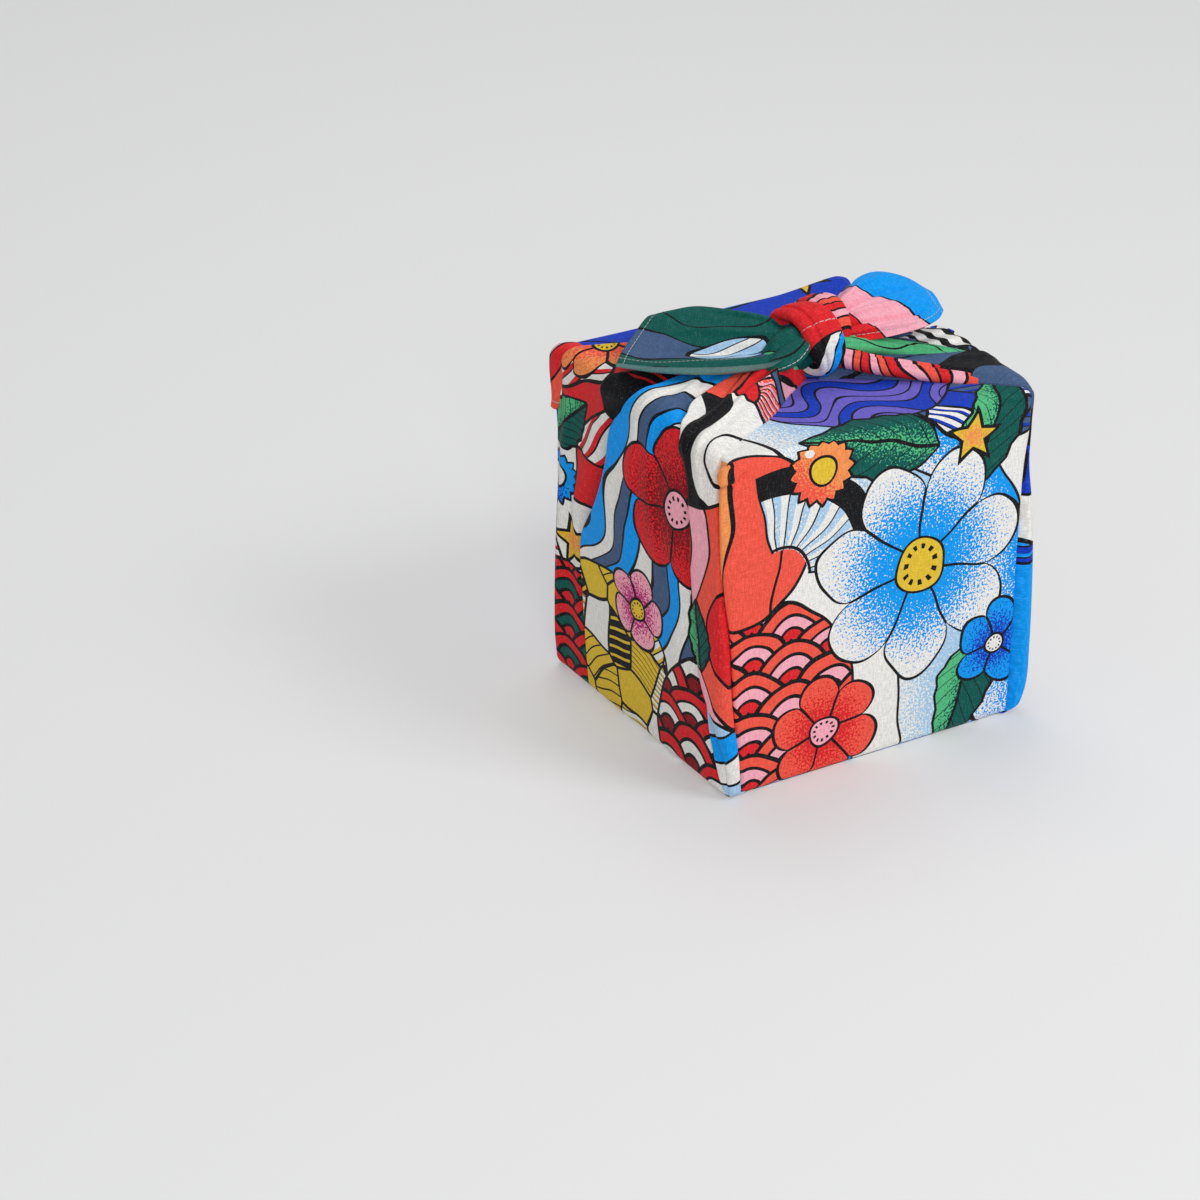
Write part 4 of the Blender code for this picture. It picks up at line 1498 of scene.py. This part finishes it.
@dataclass
class RolledBand:
    """Cloth rolled or folded into a rope: an oval section carried along a path.

    A row is the path's point and the section's half width and half thickness. A hem is stitched
    along the band at seam_angle degrees, and across it at seam_run metres along. Open ends close
    in a round, end_round long.
    """

    name: str
    finish: PrintedCloth
    across: Triple
    girth: float
    steps: tuple[int, int]
    rows: Table
    grooves: tuple[Groove, ...]
    closed: bool = False
    seam_angle: float | None = None
    seam_run: float | None = None
    end_round: float = 0.004

    def section(self) -> Array:
        """The path's rows, read finely.

        Returns:
            The smooth curve through the rows, in metres, one row for each step along the path.
        """
        rows, steps = np.array(self.rows) * MM, self.steps[0]
        if not self.closed:
            return follow(np.arange(len(rows)), rows, np.linspace(0, len(rows) - 1, steps))
        rows = np.vstack([rows[-1:], rows, rows[:2]])
        return follow(np.arange(-1, len(rows) - 1), rows, np.linspace(0, len(rows) - 3, steps))

    def build(self) -> None:
        """Makes and presents the band.

        Formula: round the path, the section's point at angle w is half_width cos w across plus
        half_thickness sin w out, less each groove's depth times a bell round its angle.
        """
        section = self.section()
        middle = section[:, :3]
        ahead = np.gradient(middle, axis=0)
        if self.closed:
            ahead[0] = ahead[-1] = middle[1] - middle[-2]
        ahead /= np.linalg.norm(ahead, axis=1, keepdims=True)
        across = np.array(self.across) - ahead * (ahead @ np.array(self.across))[:, None]
        across /= np.linalg.norm(across, axis=1, keepdims=True)
        turn = np.linspace(0, 2 * np.pi, self.steps[1] + 1)[None, :]
        way = np.linspace(0, 1, self.steps[0])[:, None]
        shrink = np.ones_like(turn + way)
        for groove in self.grooves:
            angle = np.radians(groove.start + (groove.end - groove.start) * way)
            off = (turn - angle + np.pi) % (2 * np.pi) - np.pi
            shrink = shrink - groove.depth * bell(off, np.radians(groove.width))
        run = length_along(middle, 0)[:, None]
        if not self.closed:
            to_end = np.clip(np.minimum(run, run[-1] - run) / self.end_round, 0.0, 1.0)
            shrink = shrink * np.sqrt(1.0001 - (1 - to_end) ** 2)
        wide, high = section[:, 3:4] * np.cos(turn) * shrink, section[:, 4:5] * np.sin(turn) * shrink
        thick = np.cross(ahead, across)
        points = middle[:, None] + wide[..., None] * across[:, None] + high[..., None] * thick[:, None]
        round_it = self.girth * turn / (2 * np.pi)
        flat = np.stack(np.broadcast_arrays(run, round_it), axis=-1)
        made = cloth_sheet(self.name, points, flat, self.seams(run, round_it))
        present(made, (self.girth, surface(made) / self.girth), "folded", self.finish)

    def seams(self, run: Array, round_it: Array) -> Array | None:
        """The band's hem map.

        Args:
            run: the way along the path.
            round_it: the way round the section.

        Returns:
            The distances to the hems, over 1 m where there is none, or None for a band without.
        """
        if self.seam_angle is None and self.seam_run is None:
            return None
        side, end = round_it + 1, run + 1
        if self.seam_angle is not None:
            side = round_it - self.girth * self.seam_angle / 360 + HEM_WIDTH
        if self.seam_run is not None:
            end = run - self.seam_run + HEM_WIDTH
        return np.stack(np.broadcast_arrays(side, end), axis=-1)


BANDS = (
    RolledBand(
        "tail_pleat", BLUE_ROPE_PRINT, (0.1, 1.0, 0.0), 0.07, (80, 56),
        ((26, -6, 262, 9, 8), (44, -4, 264, 13, 11), (62, 0, 264, 16, 13), (80, 1, 262.5, 14, 11),
         (96, -2, 260, 7, 6)),
        (Groove(200, 215, 0.2, 8), Groove(160, 150, 0.14, 9))),
    RolledBand(
        "front_rope", RED_ROPE_PRINT, (0.5, 0.8, 0.2), 0.045, (110, 64),
        ((4, -20, 256, 9, 8), (22, -33, 253, 8, 6.5), (34, -43, 250, 7.5, 6), (50, -53, 247, 7.5, 5.5),
         (68, -64, 244, 8, 5), (90, -77, 241.5, 9, 4.5), (110, -86, 238.5, 10, 4)),
        (Groove(60, 95, 0.3, 9), Groove(130, 120, 0.16, 8), Groove(250, 240, 0.18, 9))),
    RolledBand(
        "middle_rope", GREEN_ROPE_PRINT, (0.3, 0.9, 0.2), 0.04, (110, 56),
        ((10, -18, 260, 8, 7), (30, -28, 259, 6.5, 6), (50, -32, 255, 6.5, 5.5), (70, -38, 250, 7, 5),
         (89, -46, 245, 8.5, 5), (112, -60, 238.5, 11, 4)),
        (Groove(75, 105, 0.22, 8), Groove(140, 130, 0.14, 8))),
    RolledBand(
        "back_rope", BLUE_ROPE_PRINT, (0.1, 1.0, 0.0), 0.06, (90, 64),
        ((16, -2, 254, 10, 9), (44, -10, 250, 12, 8), (68, -12, 246, 15, 7), (90, -10, 242, 21, 6.5),
         (111, -6, 237, 30, 6)),
        (Groove(70, 60, 0.25, 8), Groove(110, 112, 0.22, 7))),
    RolledBand(
        "knot_front_band", RED_KNOT_PRINT, (0.95, -0.2, 0.15), 0.05, (180, 72),
        ((-2, 4, 275, 10, 5.5), (3, -8, 280, 12, 6), (6, -20, 277, 13, 6), (6, -30, 269, 13, 6),
         (7, -34, 259, 11.5, 6), (7, -32, 250, 7, 5.5), (5, -21, 246, 9, 6), (1, -7, 250, 10, 6),
         (-3, 3, 263, 10, 5.5)),
        (Groove(70, 78, 0.14, 7), Groove(118, 104, 0.2, 7), Groove(40, 40, 0.08, 6)),
        closed=True, seam_run=0.031),
    RolledBand(
        "knot_back_band", RED_ROPE_PRINT, (0.9, -0.38, 0.1), 0.045, (150, 64),
        ((25, 18, 268, 10.5, 5.5), (26, 6, 277.5, 11.5, 6), (23, -10, 277, 11.5, 6),
         (21, -20, 267, 11, 6), (21, -15, 252, 10.5, 6), (23, 6, 250, 10.5, 6)),
        (Groove(80, 80, 0.14, 7), Groove(120, 120, 0.1, 7)), closed=True),
    RolledBand(
        "knot_core", CORE_PRINT, (0.0, 1.0, 0.0), 0.07, (70, 56),
        ((-30, -18, 247, 13, 9), (-12, -14, 257, 13.5, 14.5), (8, -13, 259.5, 14, 16.5),
         (28, -10, 258, 13.5, 15), (48, -8, 249, 13, 9)),
        (Groove(150, 165, 0.18, 8), Groove(185, 190, 0.2, 8), Groove(120, 118, 0.12, 8))),
    RolledBand(
        "curl_lobe", LOBE_PRINT, (0.35, -0.85, -0.15), 0.03, (60, 56),
        ((-6, -24, 267, 4.5, 4), (-13, -29, 266, 7.5, 4), (-21, -31, 263, 9, 3.5), (-30, -32, 260, 7, 3),
         (-39, -31, 257.5, 3, 2)),
        (Groove(250, 265, 0.3, 12), Groove(60, 50, 0.12, 9)), seam_angle=30),
)


@dataclass(frozen=True)
class TailCrease:
    """A crease of a tail: its place across at the knot and at the end, height, width and reach.

    The height is in metres and the others are shares of the tail's breadth or length.
    """

    start: float
    end: float
    height: float
    width: float
    reach: float
    fade_in: float = 0.06
    fade_out: float = 0.35


@dataclass
class Tail:
    """A free tail: a cupped leaf through listed stations, with creases from the knot.

    Lip is the share of its breadth that is turned up at the front, beyond the stitched line.
    """

    name: str
    finishes: tuple[PrintedCloth, PrintedCloth]
    flat: tuple[float, float]
    stations: tuple[Table, ...]
    creases: tuple[TailCrease, ...]
    lip: float = 0.0
    steps: tuple[int, int] = (120, 110)
    thickness: float = 0.0007

    def build(self) -> None:
        """Makes and presents the tail.

        Formula: cubics through the stations both ways give the leaf; each crease adds its height
        along the leaf's normal times a bell across, fading outwards.
        """
        points = np.array(self.stations) * MM
        along, wide = (np.linspace(0, 1, steps) for steps in self.steps)
        for q in (along, wide):
            last = len(points) - 1
            points = follow(np.arange(last + 1), points, q * last).transpose(1, 0, 2)
        normal = np.cross(np.gradient(points, axis=1), np.gradient(points, axis=0))
        normal /= np.linalg.norm(normal, axis=-1, keepdims=True)
        faces_up = normal[..., 2].mean() > 0
        u, v = along[:, None], wide[None, :]
        out = np.zeros_like(u + v)
        for crease in self.creases:
            middle = crease.start + (crease.end - crease.start) * u
            fade = soft_step(u / crease.fade_in) * soft_step((crease.reach - u) / crease.fade_out)
            out = out + crease.height * fade * bell(v - middle, crease.width)
        points = points + normal * (out if faces_up else -out)[..., None]
        run, side = length_along(points, 0), length_along(points, 1)
        turned_up = side[:, round(self.lip * (self.steps[1] - 1))][:, None]
        hem = np.stack([side - turned_up, run[-1:] - run], axis=-1)
        made = cloth_sheet(self.name, points, np.stack([run, side], axis=-1), hem, flip=not faces_up)
        thicken(made, self.thickness, 0, reverse_slot=1)
        present(made, self.flat, "draped", *self.finishes)


LEFT_STATIONS = (
    ((-2, -22, 262), (-3, -18, 262), (-4, -12, 263), (-3, -6, 267), (-1, 0, 270), (1, 6, 262)),
    ((-32, -35, 264), (-31, -30, 259), (-28, -16, 260), (-23, -3, 267), (-18, 9, 276.5), (-12, 22, 264)),
    ((-56, -31, 264.5), (-55, -27, 258), (-48, -6, 258.5), (-40, 12, 266), (-31, 28, 276), (-22, 44, 262)),
    ((-78, -20, 264), (-76, -16, 257), (-67, 8, 257), (-56, 28, 264.5), (-44, 46, 274.5), (-32, 60, 259)),
    ((-100, 2, 261), (-98, 6, 255), (-87, 25, 255.5), (-73, 41, 262.5), (-58, 55, 271.5), (-43, 70, 256)),
    ((-116, 27, 258), (-114, 31, 253.5), (-103, 44, 254.5), (-88, 54, 260), (-69, 64, 267), (-50, 78, 253)),
)
RIGHT_STATIONS = (
    ((19, -23, 260), (19, -19, 264), (19, -14, 267), (19, -8, 269), (20, -2, 267), (21, 3, 262)),
    ((42, -35, 262.5), (41, -28, 269), (40, -18, 274.5), (40, -8, 280), (43, 4, 280), (47, 16, 262)),
    ((58, -41, 265), (57, -32, 270), (56, -19, 275.5), (56, -4, 283), (59, 12, 285), (66, 28, 258)),
    ((74, -45, 268), (73, -36, 271.5), (73, -22, 276.5), (73, -4, 283.5), (77, 14, 285), (86, 30, 256)),
    ((88, -42, 270), (88, -35, 272), (89, -23, 276.5), (90, -7, 281), (94, 7, 280), (102, 22, 256)),
    ((98, -33, 270), (99, -29, 271.5), (101, -21, 274), (103, -12, 275), (105, -2, 272), (110, 8, 258)),
)
TAILS = (
    Tail(
        "left_tail", (GREEN_TAIL_PRINT, GREEN_REVERSE_PRINT), (0.083, 0.12), LEFT_STATIONS,
        (TailCrease(0.32, 0.34, 0.0034, 0.05, 0.9), TailCrease(0.48, 0.46, -0.0034, 0.04, 0.95),
         TailCrease(0.62, 0.62, 0.0026, 0.035, 0.9), TailCrease(0.74, 0.76, -0.002, 0.03, 0.7)), lip=0.30),
    Tail(
        "right_tail", (PINK_TAIL_PRINT, PINK_REVERSE_PRINT), (0.078, 0.09), RIGHT_STATIONS,
        (TailCrease(0.16, 0.12, 0.0024, 0.03, 0.75), TailCrease(0.3, 0.24, -0.0034, 0.03, 0.85),
         TailCrease(0.42, 0.4, 0.003, 0.03, 0.8), TailCrease(0.54, 0.54, -0.003, 0.028, 0.85),
         TailCrease(0.66, 0.68, 0.0028, 0.03, 0.75), TailCrease(0.8, 0.82, -0.0018, 0.03, 0.6))),
)


# The studio ---------------------------------------------------------------------------------


@dataclass(frozen=True)
class Lamp:
    """A square soft light that faces the object's middle."""

    name: str
    place: Triple
    size: float
    power: float
    aim: Triple = (0.0, 0.0, 0.12)

    def build(self) -> None:
        """Hangs the light."""
        lamp = bpy.data.lights.new(self.name, "AREA")
        lamp.size, lamp.energy = self.size, self.power
        hang(self.name, lamp, Vector(self.place), Vector(self.aim) - Vector(self.place))


def hang(name: str, data: bpy.types.ID, place: Vector, towards: Vector) -> Piece:
    """Puts a light or a camera in the scene.

    Args:
        name: the object's name.
        data: the light or camera.
        place: where it hangs.
        towards: the direction it looks in.

    Returns:
        The object.
    """
    made = bpy.data.objects.new(name, data)
    made.location, made.rotation_euler = place, towards.to_track_quat("-Z", "Y").to_euler()
    bpy.context.scene.collection.objects.link(made)
    return made


@dataclass
class Studio:
    """A pale floor that curves up behind, soft light from above, and the camera."""

    eye: Triple = (-1.15200, -1.69673, 1.13010)
    looks_back: Triple = (-0.4531, -0.7631, 0.4608)
    lens: float = 102.0
    sensor: float = 36.0
    sight: float = 30.0
    floor_colour: Triple = (0.55, 0.55, 0.55)
    floor_roughness: float = 0.9
    floor_glow: float = 0.25
    floor_reach: tuple[float, float] = (-4.0, 1.8)
    bend: float = 2.0
    half_width: float = 5.0
    wall_top: float = 5.0
    air: Triple = (0.92, 0.93, 0.94)
    air_light: float = 0.36
    lamps: tuple[Lamp, ...] = (
        Lamp("key_light", (1.3, -2.1, 2.4), 1.2, 40),
        Lamp("side_light", (-1.3, -2.4, 1.5), 0.8, 26),
        Lamp("top_light", (0.3, 1.0, 2.8), 1.4, 22),
    )

    def paper(self) -> bpy.types.Material:
        """The floor's pale, faintly glowing paper.

        Returns:
            The material.
        """
        made = bpy.data.materials.new("studio_paper")
        made.use_nodes = True
        shade = made.node_tree.nodes["Principled BSDF"].inputs
        shade["Base Color"].default_value = (*self.floor_colour, 1)
        shade["Roughness"].default_value = self.floor_roughness
        shade["Emission Color"].default_value = (1, 1, 1, 1)
        shade["Emission Strength"].default_value = self.floor_glow
        return made

    def backdrop(self) -> None:
        """Makes the floor: a sweep, flat to behind the object, a quarter circle and then a wall."""
        turn, (near, far) = np.linspace(0, np.pi / 2, 40)[1:], self.floor_reach
        run = np.concatenate([[near, far], far + self.bend * np.sin(turn), [far + self.bend]])
        rise = np.concatenate([[0.0, 0.0], self.bend * (1 - np.cos(turn)), [self.wall_top]])
        away = -np.array(self.looks_back[:2]) / np.linalg.norm(self.looks_back[:2])
        beside = np.array([away[1], -away[0]])
        wide = np.array([-self.half_width, self.half_width])
        flat = run[:, None, None] * away + wide[None, :, None] * beside
        points = np.concatenate([flat, np.broadcast_to(rise[:, None, None], (len(run), 2, 1))], axis=2)
        floor = cloth_sheet("studio_floor", points, flat, flip=True)
        floor.data.materials.append(self.paper())

    def build(self) -> None:
        """Sets the floor, the lights, the world and the camera at the photograph's angle."""
        self.backdrop()
        for lamp in self.lamps:
            lamp.build()
        scene, world = bpy.context.scene, bpy.data.worlds.new("studio_air")
        world.use_nodes = True
        air = world.node_tree.nodes["Background"].inputs
        air["Color"].default_value = (*self.air, 1)
        air["Strength"].default_value = self.air_light
        scene.world = world
        scene.view_settings.view_transform = "Standard"
        lens = bpy.data.cameras.new("photo_camera")
        lens.lens, lens.sensor_width, lens.clip_end = self.lens, self.sensor, self.sight
        scene.camera = hang("photo_camera", lens, Vector(self.eye), -Vector(self.looks_back))


def main() -> None:
    """Builds the sub-assemblies in order."""
    logging.basicConfig(level=logging.INFO, format="%(message)s")
    works = (
        Studio(),
        SmoothCloth("front_cloth", -1, 3, FRONT_PRINT),
        SmoothCloth("back_cloth", 1, 4, BACK_PRINT),
        BaseCloth(),
        GatheredSide(Side.LEFT, LEFT_CREASES, LEFT_BACK_CREASES,
                     (LEFT_FRONT_PRINT, LEFT_MAIN_PRINT, LEFT_BACK_PRINT)),
        GatheredSide(Side.RIGHT, RIGHT_CREASES, RIGHT_BACK_CREASES,
                     (RIGHT_FRONT_PRINT, RIGHT_MAIN_PRINT, RIGHT_BACK_PRINT)),
        CornerFlap(),
        *BANDS,
        *TAILS,
    )
    for work in works:
        work.build()


if __name__ == "__main__":
    main()
